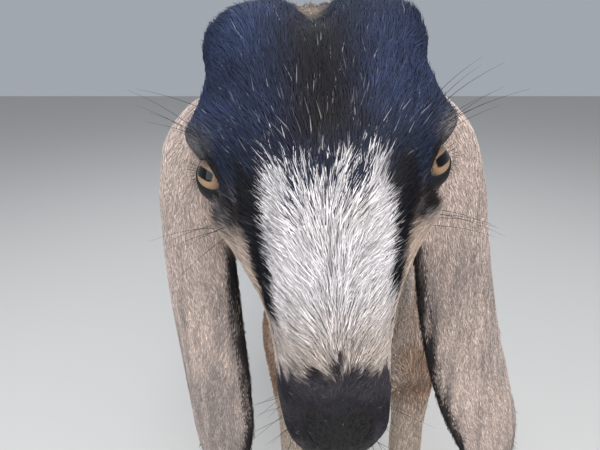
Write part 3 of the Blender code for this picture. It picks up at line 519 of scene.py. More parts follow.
@dataclass
class Markings:
    """The goat's colours, by place, for skin and coat alike."""

    blaze_top: float = -0.25
    blaze_half: float = 2.8
    muzzle_edge: float = -9.9

    def head(self, points: np.ndarray) -> np.ndarray:
        """Colours on the head: dark poll, ragged white blaze, stripes, cheeks and muzzle."""
        local = in_head(points)
        x, y, z = local.T
        side = np.abs(x)
        wide = turned(local)
        streak = ripple(local * (1, 1, 0.22) * CM, 0.0035, 3)
        patch = ripple(points, 0.011, 5)
        rough = ripple(points, 0.028, 7)

        colour = np.tile(BLUE_BLACK, (len(points), 1))
        # Painted sheen: a blue highlight painted on the upper sides of the poll, strongest towards the front
        # and weaker on the goat's left side as painted shade
        painted_sheen = step(0.8, 3.8, z) * step(0.9, 3.2, side) * (0.75 + 0.35 * rough) * step(105, 70, wide)
        colour = blend(colour, PAINTED_BLUE_SHEEN, np.clip(painted_sheen, 0, 1) * (0.85 - 0.40 * step(-1, 3, x)))
        middle = np.exp(-((x / 1.9) ** 2)) * step(0.5, 2.5, z) * step(8.5, 6.5, z)
        colour = blend(colour, BROWN_BLACK * 0.7, np.clip(middle, 0, 1) * 0.9)
        parting = np.exp(-((x / 0.45) ** 2)) * step(3.0, 5.5, z)
        colour = blend(colour, BLACK, np.clip(parting, 0, 1) * 0.8)

        # The cheeks are cream, from below the eyes to the muzzle and back to the throat
        edge = 4.0 + 0.145 * np.minimum(z, 0) - 0.15 * (x > 0)
        below = step(-1.5, -2.7, z + 0.45 * patch + 0.35 * streak - 0.045 * np.clip(wide - 48, 0, 60))
        cheek = below * step(edge - 0.05, edge + 0.25, side + 0.15 * streak)
        cheek = np.maximum(cheek, step(92, 112, wide + 6 * patch) * step(4.6, 2.4, z))
        cheek = np.maximum(cheek, step(6.2, 7.8, y))
        # Partly painted light: the cheeks' own cream is brightened past its colour, to stand in for light on
        # the shaded sides of the face
        cream_and_painted_light = blend(CREAM * 1.35, TAN * 1.2, step(-0.5, 0.9, rough) * 0.6)
        colour = blend(colour, cream_and_painted_light, np.clip(cheek, 0, 1))

        # Under each eye the dark is mottled with grey hairs
        socket = np.exp(-(((wide - 55) / 14) ** 2) - ((z + 1.5) / 1.0) ** 2)
        mottle = blend(BROWN_BLACK, GREY_HAIR, step(-0.4, 0.8, patch + 0.6 * streak))
        colour = blend(colour, mottle, np.clip(1.35 * socket, 0, 1))
        ring = np.linalg.norm(local - aside(x, 5.9, -0.7), axis=1)
        colour = blend(colour, BLACK, step(1.55, 1.25, ring))

        # Above each eye a greyish white patch
        above = np.exp(-(((wide - 72) / 8) ** 2) - ((z - 1.8) / 0.65) ** 2)
        colour = blend(colour, GREY_HAIR * 1.1, np.clip(above * (0.8 + 0.5 * streak), 0, 1))

        # A black stripe runs down each side of the blaze
        inner = self.blaze_half + 0.05 * np.clip(z + 4, -5, 0) + 0.06 * np.clip(-5.5 - z, 0, 4)
        stripe = step(inner - 0.25, inner + 0.10, side + 0.12 * streak)
        stripe = stripe * step(edge + 0.20, edge - 0.10, side + 0.18 * streak)
        stripe = stripe * step(-9.2, -7.5, z) * step(1.4, -0.2, z + 0.5 * streak) * (wide < 78)
        colour = blend(colour, BLACK, np.clip(stripe, 0, 1))

        # The blaze is white with a ragged, fanned top, and turns cream over the muzzle
        fan = self.blaze_top + 0.45 * ripple(local * (1, 1, 0.1) * CM, 0.0030, 11) + 0.6 * streak
        fan = fan + 1.25 * ripple(points, 0.0006, 13) + 0.15 * side**2
        blaze = step(fan + 0.2, fan - 0.2, z) * step(inner + 0.15, inner - 0.15, side + 0.18 * streak)
        warm = np.clip(step(-4.5, -9.0, z + 0.6 * patch) + 0.25 * step(0.2, 1.2, patch), 0, 1)
        white = blend(WHITE, WARM_WHITE, warm)
        white = white * (1 - 0.22 * np.clip(streak, 0, 1))[:, None]
        colour = blend(colour, white, np.clip(blaze, 0, 1) * (wide < 80))

        # The muzzle is charcoal, its edge ragged and reaching up the middle
        reach = self.muzzle_edge + 1.5 * np.exp(-((x / 1.5) ** 2)) - 0.55 * step(2.2, 3.2, side)
        reach = reach - 0.012 * np.clip(wide - 50, 0, 60)
        muzzle = step(reach + 0.45, reach - 0.45, z + 0.8 * streak)
        dark = blend(CHARCOAL, BLACK, step(-0.5, 0.7, patch) * 0.6)
        colour = blend(colour, dark, np.clip(muzzle, 0, 1) * step(7.2, 5.8, y))
        lips = step(-14.9, -15.9, z + 0.3 * patch) * step(35, 60, wide) * step(7.2, 5.8, y)
        colour = blend(colour, GREY_HAIR, np.clip(lips, 0, 1) * 0.5)
        pad = step(1.9, 1.5, side + 0.05 * (z + 11)) * step(-11.2, -11.9, z) * (y < 1.0)
        colour = blend(colour, NOSE, np.clip(pad, 0, 1))

        # Pale hair stands in the cleft behind the bosses
        cleft = np.exp(-((x / 1.3) ** 2)) * step(1.8, 3.4, y + 0.5 * patch) * step(6.0, 7.4, z)
        return blend(colour, TAN * 0.7, np.clip(cleft, 0, 1) * (0.6 + 0.3 * np.clip(streak, -1, 1)))

    def body(self, points: np.ndarray, normals: np.ndarray) -> np.ndarray:
        """Colours on the neck, trunk, legs and tail."""
        x, y, z = points.T
        patch = ripple(points, 0.045, 21)
        fleck = ripple(points * (1, 0.3, 1), 0.012, 23)
        front = step(-0.16, -0.34, y)
        colour = blend(FAWN, RUST, np.clip(0.45 + 0.40 * patch, 0, 1))
        # Partly painted light: the pale front of the neck and chest is its own colour, brightened further to
        # stand in for light under the head
        pale = blend(TAN * 1.45, CREAM * 1.5, step(-0.4, 0.8, patch))
        colour = blend(colour, pale, np.clip(front + 0.15 * patch, 0, 1))
        under = step(-0.25, -0.85, normals[:, 2] + 0.1 * fleck) * (z > 0.36)
        colour = blend(colour, CREAM * 0.85, np.clip(under, 0, 1) * 0.75)
        chest = step(0.42, 0.50, z) * step(-0.10, -0.24, y) * step(0.09, 0.03, np.abs(x - MIDLINE))
        colour = blend(colour, CREAM * 0.9, np.clip(chest, 0, 1) * 0.6)

        # A black line runs from the nape along the back to the tip of the tail
        middle = np.interp(y, [row[1] for row in reversed(NECK)], [row[0] for row in reversed(NECK)])
        spine = np.abs(x - middle) - 0.010 - 0.004 * patch + 0.004 * fleck
        line = step(0.008, -0.006, spine) * step(0.2, 0.7, normals[:, 2] + 0.8 * (y > 0.50))
        line = line * step(-0.44, -0.34, y) * np.where(y > 0.45, step(0.66, 0.70, z), 1.0)
        colour = blend(colour, DORSAL, np.clip(line, 0, 1))

        # The legs are pale in front and dark down their backs and above the hooves
        leg = step(0.43, 0.36, z)
        fore = y < 0.1
        colour = blend(colour, np.where(fore[:, None], PALE_LEG, FAWN * 1.15), leg)
        trim = step(0.0, 0.7, normals[:, 1] + 0.25 * fleck) * leg * 0.55
        colour = blend(colour, RUST * 0.5, np.clip(trim, 0, 1))
        foot = step(0.085, 0.05, z + 0.006 * fleck)
        return blend(colour, DORSAL * 2.2, np.clip(foot, 0, 1) * 0.7)

    def ear(
        self, points: np.ndarray, share: np.ndarray, spread: np.ndarray, inner: np.ndarray
    ) -> np.ndarray:
        """Colours on an ear.

        Args:
            points: Places in metres.
            share: How far along the ear, from root to tip.
            spread: Across the ear, from -1 at its rear edge to 1 at its front edge.
            inner: Whether the point is in the cup.

        Returns:
            One linear colour for each place.
        """
        fine = ripple(points * (1, 1, 0.12), 0.0035, 31)
        patch = ripple(points * (1, 1, 0.4), 0.016, 33)
        grey = step(0.18, 0.62, share + 0.12 * patch)
        low = 0.45 * step(0.6, 0.95, share) * (points[:, 0] < EYE_LINE.x)
        mottle = np.clip(grey * (0.45 + 0.35 * patch + 0.30 * fine) + low, 0, 1)
        colour = blend(EAR_TAN, EAR_GREY, mottle * 0.75)
        margin = step(-0.60, -0.92, spread)
        colour = blend(colour, EAR_PINK, margin * 0.8)
        band = step(0.78, 0.93, spread + 0.05 * fine) * step(0.30, 0.44, share + 0.05 * patch)
        colour = blend(colour, EAR_EDGE, np.clip(band, 0, 1))
        tip = step(0.90, 1.0, share + 0.03 * patch)
        colour = blend(colour, EAR_EDGE * 1.6, tip * 0.6)
        return np.where(inner[:, None], blend(PINK_SKIN, colour, np.full(len(points), 0.45)), colour)


@dataclass
class HeadForm:
    """The head's own form, finer than its solid and with the same sizes."""

    rings: int = 130
    around: int = 170

    def at(self, heights: np.ndarray, turns: np.ndarray) -> np.ndarray:
        """Points on the head in centimetres, at heights and turns of the same length."""
        rows = eased([row[0] for row in HEAD], HEAD, heights)
        face, throat, half_width, widest, face_square, throat_square = rows[:, 1:].T
        ahead, beside = np.cos(turns), np.sin(turns)
        square = np.where(ahead > 0, face_square, throat_square)
        deep = np.where(ahead > 0, widest - face, throat - widest)
        x = half_width * power(beside, 2 / square)
        y = widest - deep * power(ahead, 2 / square)
        out_x, out_y = beside / np.maximum(half_width, 0.5), -ahead / np.maximum(deep, 0.5)
        size = np.hypot(out_x, out_y)
        ways = np.stack([out_x / size, out_y / size, np.zeros_like(x)], -1)
        points = np.stack([x, y, heights], -1)
        moved = points.copy()
        for (px, py, pz), reach, height, way in RISES:
            for side in (1, -1) if px else (1,):
                share = np.exp(-(((points - (side * px, py, pz)) / np.array(reach)) ** 2).sum(-1))
                push = ways if way is None else unit(np.array(way, float))
                moved += push * (share * height)[:, None]
        return moved

    def build(self) -> bpy.types.Object:
        """The closed form in place in the world."""
        low, high = HEAD[0][0], HEAD[-1][0]
        share = np.linspace(0, 1, self.rings)
        rounded = low + (high - low) * (1 - np.cos(math.pi * share)) / 2
        heights = 0.45 * (low + (high - low) * share) + 0.55 * rounded
        turns = np.linspace(0, 2 * math.pi, self.around, endpoint=False)
        rings = [to_world(self.at(np.full(self.around, h), turns)) for h in heights]
        return loft("head_form", rings)

    def bar(self, places: tuple, radii: tuple, side: int, lift: float = 0.0) -> bpy.types.Object:
        """A fine tapered bar that runs on the head's surface.

        Args:
            places: Height and turn of each of its points.
            radii: Its radius at each, in centimetres.
            side: 1 for the left and -1 for the right.
            lift: How far out of the surface it lies, in centimetres.

        Returns:
            The closed bar, in place in the world.
        """
        heights = np.array([height for height, _ in places])
        turns = np.radians([turn for _, turn in places]) * side
        line = self.at(heights, turns)
        centre = np.array((0, 1.5, 0)) + line * (0, 0, 1)
        line = line + unit(line - centre) * lift
        stations = np.column_stack([to_world(line), np.array(radii) * CM, np.array(radii) * CM])
        return limb("bar", stations, count=36, around=14)

    def mouth(self) -> bpy.types.Object:
        """The line of the mouth, from one corner round the lips to the other."""
        whole = [(h, -t) for h, t in reversed(MOUTH_LINE)] + list(MOUTH_LINE)
        line = self.at(np.array([h for h, _ in whole]), np.radians([t for _, t in whole]))
        half = len(MOUTH_LINE)
        middle = line[half - 1 : half + 1].mean(0) + (0, 0, -0.1)
        line = np.vstack([line[:half], middle, line[half:]])
        radii = np.full(len(line), 0.085 * CM)
        stations = np.column_stack([to_world(line), radii, radii])
        return limb("mouth", stations, count=90, around=10)


@dataclass
class EyeSize:
    """The sizes of an eye and its lids, in centimetres and degrees."""

    centre: tuple = (4.85, 0.25, 0.0)
    axis: tuple = (0.71, -0.66, 0.24)
    gaze: tuple = (0.66, -0.74, 0.20)
    radius: float = 1.50
    cornea_rise: float = 0.08
    lid_thickness: float = 0.20
    lid_reach: float = 88.0
    half_length: float = 46.0
    half_height: float = 19.0
    tilt: float = 22.0

    def frame(self, side: int) -> Matrix:
        """The eye's own frame in the world: +Z looks out, +X runs back along the lids."""
        out = Vector((self.axis[0] * side, self.axis[1], self.axis[2])).normalized()
        tilt = math.radians(self.tilt)
        back = Vector((0, math.cos(tilt), math.sin(tilt)))
        back = (back - out * back.dot(out)).normalized()
        turn = Matrix((back, out.cross(back), out)).transposed().to_4x4()
        centre = Vector((self.centre[0] * side, self.centre[1], self.centre[2])) * CM
        return HEAD_PLACE @ Matrix.Translation(centre) @ turn

    def gap(self, turns: np.ndarray) -> np.ndarray:
        """How far the opening between the lids reaches, in radians from the axis."""
        length, height = math.radians(self.half_length), math.radians(self.half_height)
        return 1 / np.hypot(np.cos(turns) / length, np.sin(turns) / height)


@dataclass
class Lids:
    """The rounded lids round one eye, as a closed ring that the skin takes in."""

    size: EyeSize = field(default_factory=EyeSize)
    around: int = 72
    section: int = 12

    def build(self, side: int) -> bpy.types.Object:
        """The ring: a thin wedge that starts rounded at the gap and thickens outwards."""
        turns = np.linspace(0, 2 * math.pi, self.around, endpoint=False)
        gap, reach = self.size.gap(turns), math.radians(self.size.lid_reach)
        inner = self.size.radius * 0.95
        rings = []
        for part in np.linspace(0, 2 * math.pi, self.section, endpoint=False):
            share = 0.5 - 0.5 * math.cos(part)
            rise = math.sin(part) if part < math.pi else 0.0
            lean = gap + (reach - gap) * share**1.4
            radius = inner + rise**0.6 * (0.03 + self.size.lid_thickness) * (1 - 0.2 * share)
            around = np.stack([np.sin(lean) * np.cos(turns), np.sin(lean) * np.sin(turns), np.cos(lean)], -1)
            rings.append(around * radius * CM)
        rings = np.asarray(rings)
        count = len(rings)
        faces = []
        for i in range(count):
            for j in range(self.around):
                k, n = (j + 1) % self.around, (i + 1) % count
                here, there = i * self.around, n * self.around
                faces.append((here + j, here + k, there + k, there + j))
        mesh = bpy.data.meshes.new("lids")
        mesh.from_pydata([tuple(p) for p in rings.reshape(-1, 3)], [], faces)
        mesh.transform(self.size.frame(side))
        shape = bmesh.new()
        shape.from_mesh(mesh)
        bmesh.ops.recalc_face_normals(shape, faces=shape.faces)
        return object_of("lids", shape)


@dataclass
class Eye:
    """A wet amber eye with a level pupil."""

    size: EyeSize = field(default_factory=EyeSize)
    segments: int = 128
    rows: int = 80

    def look(self, side: int) -> Matrix:
        """Where the eyeball stands and looks: +Z along its gaze and +X level to the back."""
        size = self.size
        out = Vector((size.gaze[0] * side, size.gaze[1], size.gaze[2])).normalized()
        back = Vector((0, 1, 0.10))
        back = (back - out * back.dot(out)).normalized()
        turn = Matrix((back, out.cross(back), out)).transposed().to_4x4()
        centre = Vector((size.centre[0] * side, size.centre[1], size.centre[2])) * CM
        return HEAD_PLACE @ Matrix.Translation(centre) @ turn

    def ball(self, name: str, side: int, grow: float = 0.0) -> bpy.types.Object:
        """The eyeball with its cornea, grown by a few hundredths of a centimetre."""
        shape = bmesh.new()
        bmesh.ops.create_uvsphere(shape, u_segments=self.segments, v_segments=self.rows, radius=1)
        points = np.array([v.co[:] for v in shape.verts])
        lean = np.arccos(np.clip(points[:, 2], -1, 1))
        radius = self.size.radius + self.size.cornea_rise * np.exp(-((lean / 0.62) ** 4)) + grow
        for vertex, place in zip(shape.verts, points * radius[:, None] * CM):
            vertex.co = place
        made = object_of(name, shape)
        made.data.transform(self.look(side))
        return made

    def colours(self, local: np.ndarray, up: float) -> np.ndarray:
        """Colours by place on the unit eyeball.

        Args:
            local: Places on it. +Z is its gaze and +X runs level.
            up: 1 where +Y points up and -1 where it points down.

        Returns:
            One linear colour for each place.
        """
        level, upright = local[:, 0], local[:, 1]
        turn = np.arctan2(upright, level)
        out = np.hypot(level, upright)
        spoke = np.sin(31 * turn + 3 * np.sin(7 * turn)) * 0.5 + np.sin(57 * turn) * 0.3
        amber = blend(IRIS_NEAR, IRIS_FAR, np.clip(step(0.30, 0.70, out) + 0.18 * spoke, 0, 1))
        # Painted shadow: the iris is darkened on its upper side, where the upper lid shades it
        above = step(0.02, 0.40, np.abs(upright) * (upright * up > 0))
        amber = blend(amber, LID_SHADOW_ON_IRIS, above * 0.85)
        colour = blend(amber, EYE_RIM, step(0.84, 0.90, out))
        slot = (np.abs(level / 0.42) ** 4 + np.abs(upright / 0.175) ** 4) ** 0.25
        return blend(rows_of(len(local), *PUPIL), colour, step(0.90, 1.05, slot))

    def build(self, label: str, side: int, finish: bpy.types.Material) -> bpy.types.Object:
        """The eye as a piece that takes the place of its solid."""
        made = self.ball(f"eye_{label}_wet", side)
        to_eye = np.array(self.look(side).inverted())
        up = -1.0 if self.look(side).col[1].z < 0 else 1.0
        local = places_of(made.data) @ to_eye[:3, :3].T + to_eye[:3, 3]
        paint(made.data, self.colours(unit(local), up))
        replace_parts(finished(made, finish), f"eye_{label}")
        return made


@dataclass
class EarForm:
    """One ear as a thin cupped form, with the same sizes as its solid."""

    label: str
    rings: int = 80
    half: int = 21
    thinner: float = 0.07

    def grid(self) -> np.ndarray:
        """Its rings of points in the world: down the back of the ear, then up the cup."""
        side = 1 if self.label == "left" else -1
        rows = along(EARS[self.label], self.rings)
        spread = np.linspace(-1, 1, self.half)
        facing = EAR_FACING[self.label]
        rings = []
        for x, y, z, width, curl, wall, fill, lean in rows:
            way = np.array((side * math.cos(math.radians(lean)), 0.0, -math.sin(math.radians(lean))))
            out = np.array((side * math.sin(facing), -math.cos(facing), 0.0))
            out = unit(out - way * out.dot(way))
            across = np.cross(way, out)
            bend = math.radians(curl)
            radius = width / 2 / bend
            turns = spread * bend
            edge = wall * (0.55 + 0.45 * np.sqrt(np.clip(1 - spread**2, 0, 1)))
            middle = np.array((x, y, z)) + out * wall / 2
            outer = np.outer(np.sin(turns) * radius, across) + np.outer((np.cos(turns) - 1) * radius, out)
            normals = np.outer(np.sin(turns), across) + np.outer(np.cos(turns), out)
            inner = outer - normals * (edge - self.thinner)[:, None]
            outer = outer - normals * self.thinner
            hollow = (math.cos(bend) - 1) * radius - 0.25 * radius * np.cos(spread * math.pi / 2)
            filled = np.outer(np.sin(turns) * radius * 0.6, across) + np.outer(hollow, out)
            inner = inner * (1 - fill) + filled * fill
            rings.append((np.vstack([outer, inner[::-1]]) + middle) * CM + np.array(EYE_LINE))
        return np.asarray(rings)


@dataclass
class Field:
    """What is known at places on the skin: the part, the lie of the hair, and its size."""

    markings: Markings = field(default_factory=Markings)
    ear_reach: float = 0.0035

    def __post_init__(self) -> None:
        """Lays out the ears' grids, to find which points of the skin are theirs."""
        self.grids = {label: EarForm(label).grid() for label in EARS}
        self.trees = {}
        for label, grid in self.grids.items():
            tree = KDTree(grid.shape[0] * grid.shape[1])
            for index, point in enumerate(grid.reshape(-1, 3)):
                tree.insert(point, index)
            tree.balance()
            self.trees[label] = tree

    def sort(self, points: np.ndarray) -> tuple[np.ndarray, np.ndarray, np.ndarray, np.ndarray]:
        """Finds the part each place is on.

        Args:
            points: Places on the skin.

        Returns:
            The part's number, how far along its ear, where across it, and whether in the cup.
        """
        part = np.full(len(points), Part.BODY.value)
        part[(points - NAPE) @ NAPE_WAY > 0.022] = Part.HEAD.value
        share, spread = np.zeros(len(points)), np.zeros(len(points))
        inner = np.zeros(len(points), bool)
        for label, number in (("left", Part.EAR_LEFT.value), ("right", Part.EAR_RIGHT.value)):
            grid, tree = self.grids[label], self.trees[label]
            around = grid.shape[1]
            low, high = grid.reshape(-1, 3).min(0) - 0.01, grid.reshape(-1, 3).max(0) + 0.01
            near = np.where(np.all((points > low) & (points < high), axis=1))[0]
            local = in_head(points[near])
            for index, beside in zip(near, np.abs(local[:, 0])):
                _, found, distance = tree.find(points[index])
                i, j = divmod(found, around)
                if distance > self.ear_reach or (i < 18 and beside < 6.4):
                    continue
                part[index] = number
                share[index] = i / (grid.shape[0] - 1)
                half = around // 2
                inner[index] = j >= half
                spread[index] = ((j if j < half else around - 1 - j) / (half - 1)) * 2 - 1
        spread[part == Part.EAR_RIGHT.value] *= -1
        return part, share, spread, inner

    def colour(self, points: np.ndarray, normals: np.ndarray, sorted_as: tuple) -> np.ndarray:
        """Colours of the skin and coat at places sorted into parts."""
        part, share, spread, inner = sorted_as
        colours = self.markings.body(points, normals)
        nape = step(0.045, 0.015, (points - NAPE) @ NAPE_WAY)
        head = part == Part.HEAD.value
        colours[head] = blend(self.markings.head(points[head]), colours[head], nape[head])
        for number in (Part.EAR_LEFT.value, Part.EAR_RIGHT.value):
            here = part == number
            colours[here] = self.markings.ear(points[here], share[here], spread[here], inner[here])
        return colours

    def lie(self, points: np.ndarray, normals: np.ndarray, sorted_as: tuple) -> np.ndarray:
        """The way the hair lies at each place, along the surface."""
        part, share, _, _ = sorted_as
        x, y, z = points.T
        ways = np.tile(np.array((0.0, 1.0, -0.45)), (len(points), 1))
        neck = step(-0.10, -0.26, y)
        ways = blend(ways, np.array((0.0, 0.70, -0.72)), neck)
        legs = step(0.50, 0.40, z)
        ways = blend(ways, np.array((0.0, 0.10, -1.0)), legs)
        tail = step(0.49, 0.515, y) * step(0.665, 0.69, z)
        fringe = np.stack([9 * (x - MIDLINE), np.full(len(x), 0.62), np.full(len(x), 0.42)], -1)
        ways = blend(ways, fringe, tail)
        head = part == Part.HEAD.value
        ways[head] = self.head_lie(points[head])
        for label, number in (("left", Part.EAR_LEFT.value), ("right", Part.EAR_RIGHT.value)):
            here = part == number
            line = self.grids[label].mean(1)
            slopes = unit(np.gradient(line, axis=0))
            ways[here] = slopes[(share[here] * (len(line) - 1)).astype(int)]
        swirl = np.stack([ripple(points, 0.03, seed) for seed in (41, 43, 45)], -1)
        ways = unit(ways) + 0.16 * swirl
        return unit(ways - normals * (ways * normals).sum(-1, keepdims=True))

    def head_lie(self, points: np.ndarray) -> np.ndarray:
        """The lie on the head: up and outwards from the middle of the face, and back over it."""
        local = in_head(points)
        x, y, z = local.T
        wide = turned(local)
        spread = np.clip(x / 2.8, -1.6, 1.6) * (0.80 + 1.5 * step(0.5, -4.5, z))
        spread = spread * (1 - 0.45 * step(1.0, 4.0, z))
        face = np.stack([spread, np.zeros(len(x)), np.ones(len(x))], -1)
        poll = np.stack([0.10 * x, np.full(len(x), 0.55), np.ones(len(x))], -1)
        back = np.stack([0.02 * x, np.ones(len(x)), np.full(len(x), -0.65)], -1)
        cheek = np.stack([0.1 * np.sign(x), np.ones(len(x)), np.full(len(x), -0.30)], -1)
        ways = blend(unit(face), unit(poll), step(2.5, 5.5, z))
        ways = blend(ways, unit(cheek), step(56, 84, wide) * step(3.2, 1.2, z))
        behind = np.maximum(step(95, 125, wide) * step(-1.0, 2.0, z), step(7.2, 8.8, z) * (y > 1.5))
        ways = blend(ways, unit(back), behind)
        chin = np.stack([0.0 * x, np.full(len(x), 0.3), -np.ones(len(x))], -1)
        ways = blend(ways, unit(chin), step(-14.2, -15.6, z))
        turn = np.array(HEAD_PLACE)[:3, :3]
        return unit(ways) @ turn.T

    def hair(self, points: np.ndarray, sorted_as: tuple) -> dict[str, np.ndarray]:
        """The hair's length, width and lift, and how many hairs grow, at each place."""
        part, _, spread, inner = sorted_as
        x, y, z = points.T
        local = in_head(points)
        up, wide = local[:, 2], turned(local)

        sizes = rows_of(len(points), 0.021, 0.00150, 11.0, 6.4)
        sizes = shifted(sizes, step(-0.12, -0.34, y), length=0.015, width=0.0011, count=10.5)
        sizes = shifted(sizes, step(0.44, 0.33, z), length=0.0105, width=0.0009, lift=8.0, count=15.0)
        sizes = shifted(sizes, step(0.10, 0.05, z), length=0.0085, width=0.0008, count=24.0)
        by_teat = step(0.030, 0.015, np.hypot(np.abs(x) - 0.040, y - 0.305))
        teat = by_teat * step(0.42, 0.39, z) * step(0.30, 0.34, z)
        sizes = shifted(sizes, teat, length=0.004, width=0.0005, count=10.0)
        tail = step(0.485, 0.51, y) * step(0.665, 0.69, z)
        sizes = shifted(sizes, tail, length=0.048, width=0.0013, lift=11.0, count=22.0)

        head = rows_of(len(points), 0.0115, 0.00046, 12.0, 105.0)
        cheek = step(55, 75, wide) * step(3.0, 1.0, up)
        lids = step(2.5, 1.6, np.linalg.norm(local - aside(local[:, 0], 5.9, -0.6), axis=1))
        for share, row in (
            (step(1.5, 5.0, up), (0.0120, 0.00046, 8.0, 105.0)),
            (cheek, (0.0070, 0.00042, 6.5, 110.0)),
            (step(-8.8, -10.8, up), (0.0036, 0.00034, 8.0, 150.0)),
            (step(88, 120, wide), (0.0095, 0.00075, 4.0, 34.0)),
            (lids, (0.0032, 0.00028, 5.0, 170.0)),
        ):
            head = blend(head, np.array(row), share)
        on_head = (part == Part.HEAD.value)[:, None]
        length, width, lift, count = np.where(on_head, head, sizes).T

        ear = part >= Part.EAR_LEFT.value
        length = np.where(ear, 0.0062, length)
        width, lift = np.where(ear, 0.00044, width), np.where(ear, 5.0, lift)
        count = np.where(ear, 86.0 - 62.0 * inner, count)
        edge = ear & (np.abs(spread) > 0.93)
        lift, count = np.where(edge, 10.0, lift), np.where(edge, 110.0, count)
        return dict(zip(HAIR_SIZES, (length, width, lift, count)))

    def depth(self, points: np.ndarray) -> np.ndarray:
        """How far the skin lies inside the solids."""
        y, z = points[:, 1], points[:, 2]
        depth = np.full(len(points), 0.0036)
        depth = blend(depth, 0.0022, step(-0.20, -0.36, y))
        depth = blend(depth, 0.0014, step(0.40, 0.30, z))
        depth = blend(depth, 0.0008, step(0.08, 0.05, z))
        depth = blend(depth, 0.0012, step(0.49, 0.52, y) * step(0.67, 0.70, z))
        local = in_head(points)
        head = step(-0.36, -0.43, y) * step(0.55, 0.62, z)
        on_head = blend(np.full(len(points), 0.0012), 0.0024, step(2.0, 6.0, local[:, 2]))
        on_head = blend(on_head, 0.0005, step(-8.5, -11.5, local[:, 2]))
        return blend(depth, on_head, head)


@dataclass
class Skin:
    """One seamless skin over the head, ears, neck, trunk, legs and tail."""

    field_of: Field
    head_voxel: float = 0.0024
    body_voxel: float = 0.0070
    eye: EyeSize = field(default_factory=EyeSize)

    def inset(self, made: bpy.types.Object) -> bpy.types.Object:
        """Draws a surface in by the depth of the coat."""
        points = places_of(made.data)
        set_places(made.data, points - normals_of(made.data) * self.field_of.depth(points)[:, None])
        return made

    def trimmed(self, made: bpy.types.Object, front: bool) -> bmesh.types.BMesh:
        """The part of a surface before or behind the cut across the neck, left open."""
        shape = bmesh.new()
        shape.from_mesh(made.data)
        bpy.data.objects.remove(made)
        place, way = NECK_CUT
        place = place + way * (0.0012 if front else -0.0012)
        geometry = shape.verts[:] + shape.edges[:] + shape.faces[:]
        side = {"clear_inner": front, "clear_outer": not front}
        bmesh.ops.bisect_plane(shape, geom=geometry, plane_co=place, plane_no=way, **side)
        return shape

    def head(self) -> bpy.types.Object:
        """The head with its lids, nostrils, mouth and ears, and the start of the neck."""
        form = HeadForm()
        made = joined("head_skin", [form.build(), limb("neck", NECK, 60, 90)])
        made = self.inset(self.soothed(remeshed(made, self.head_voxel, 5)))
        ears = [self.ear(label) for label in EARS]
        combine(made, ears + [Lids(self.eye).build(side) for side in (1, -1)], "UNION")
        cutters = [Eye(self.eye, segments=72, rows=40).ball("socket", side, 0.004) for side in (1, -1)]
        radii = (0.10, 0.20, 0.24, 0.10)
        cutters += [form.bar(NOSTRIL_LINE, radii, side, -0.04) for side in (1, -1)]
        cutters.append(form.mouth())
        return combine(made, cutters, "DIFFERENCE")

    def soothed(self, made: bpy.types.Object, times: int = 110) -> bpy.types.Object:
        """Evens out the nape, where the neck's end meets the back of the head."""
        points = places_of(made.data)
        _, deep, up = in_head(points).T
        share = (0.6 * step(4.8, 7.0, deep) * step(-4.0, 0.0, up))[:, None]
        edges = np.empty(len(made.data.edges) * 2, np.int32)
        made.data.edges.foreach_get("vertices", edges)
        ends = np.concatenate([edges.reshape(-1, 2), edges.reshape(-1, 2)[:, ::-1]])
        degree = np.bincount(ends[:, 0], minlength=len(points))
        for _ in range(times):
            sums = [np.bincount(ends[:, 0], points[ends[:, 1], axis], len(points)) for axis in range(3)]
            points += (np.stack(sums, -1) / degree[:, None] - points) * share
        set_places(made.data, points)
        return made

    def ear(self, label: str) -> bpy.types.Object:
        """One ear, closed and rounded at its edges."""
        return loft(f"ear_{label}", self.field_of.grids[label])

    def trunk(self) -> bpy.types.Object:
        """Neck, trunk, legs and tail as one surface, from copies of their solids."""
        shape = bmesh.new()
        for name in FLESH:
            if name.startswith(("head", "ear")):
                continue
            shape.from_mesh(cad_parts[name].data)
        bmesh.ops.remove_doubles(shape, verts=shape.verts, dist=0.00002)
        for vertex in shape.verts:
            vertex.co += vertex.normal * 0.0002
        return self.inset(remeshed(object_of("trunk", shape), self.body_voxel, 9))

    def build(self) -> bpy.types.Object:
        """The whole skin, bridged at the neck."""
        shape = self.trimmed(self.head(), True)
        other = self.trimmed(self.trunk(), False)
        mesh = bpy.data.meshes.new("trunk")
        other.to_mesh(mesh)
        other.free()
        shape.from_mesh(mesh)
        place, way = NECK_CUT
        open_edges = [edge for edge in shape.edges if len(edge.link_faces) == 1]
        rim = [edge for edge in open_edges if abs((edge.verts[0].co - place).dot(way)) < 0.004]
        bmesh.ops.bridge_loops(shape, edges=rim)
        bmesh.ops.recalc_face_normals(shape, faces=shape.faces)
        made = object_of("skin", shape)
        log.info("skin: %d points", len(made.data.vertices))
        return made

    def dress(self, made: bpy.types.Object, finish: bpy.types.Material) -> bpy.types.Object:
        """Paints the skin and puts it in place of the solids of flesh."""
        points, normals = places_of(made.data), normals_of(made.data)
        sorted_as = self.field_of.sort(points)
        # Painted shade: the skin takes the coat's colours darkened to 0.62, for the shade the coat casts on
        # it
        paint(made.data, self.field_of.colour(points, normals, sorted_as) * 0.62)
        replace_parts(finished(made, finish), *FLESH)
        return made


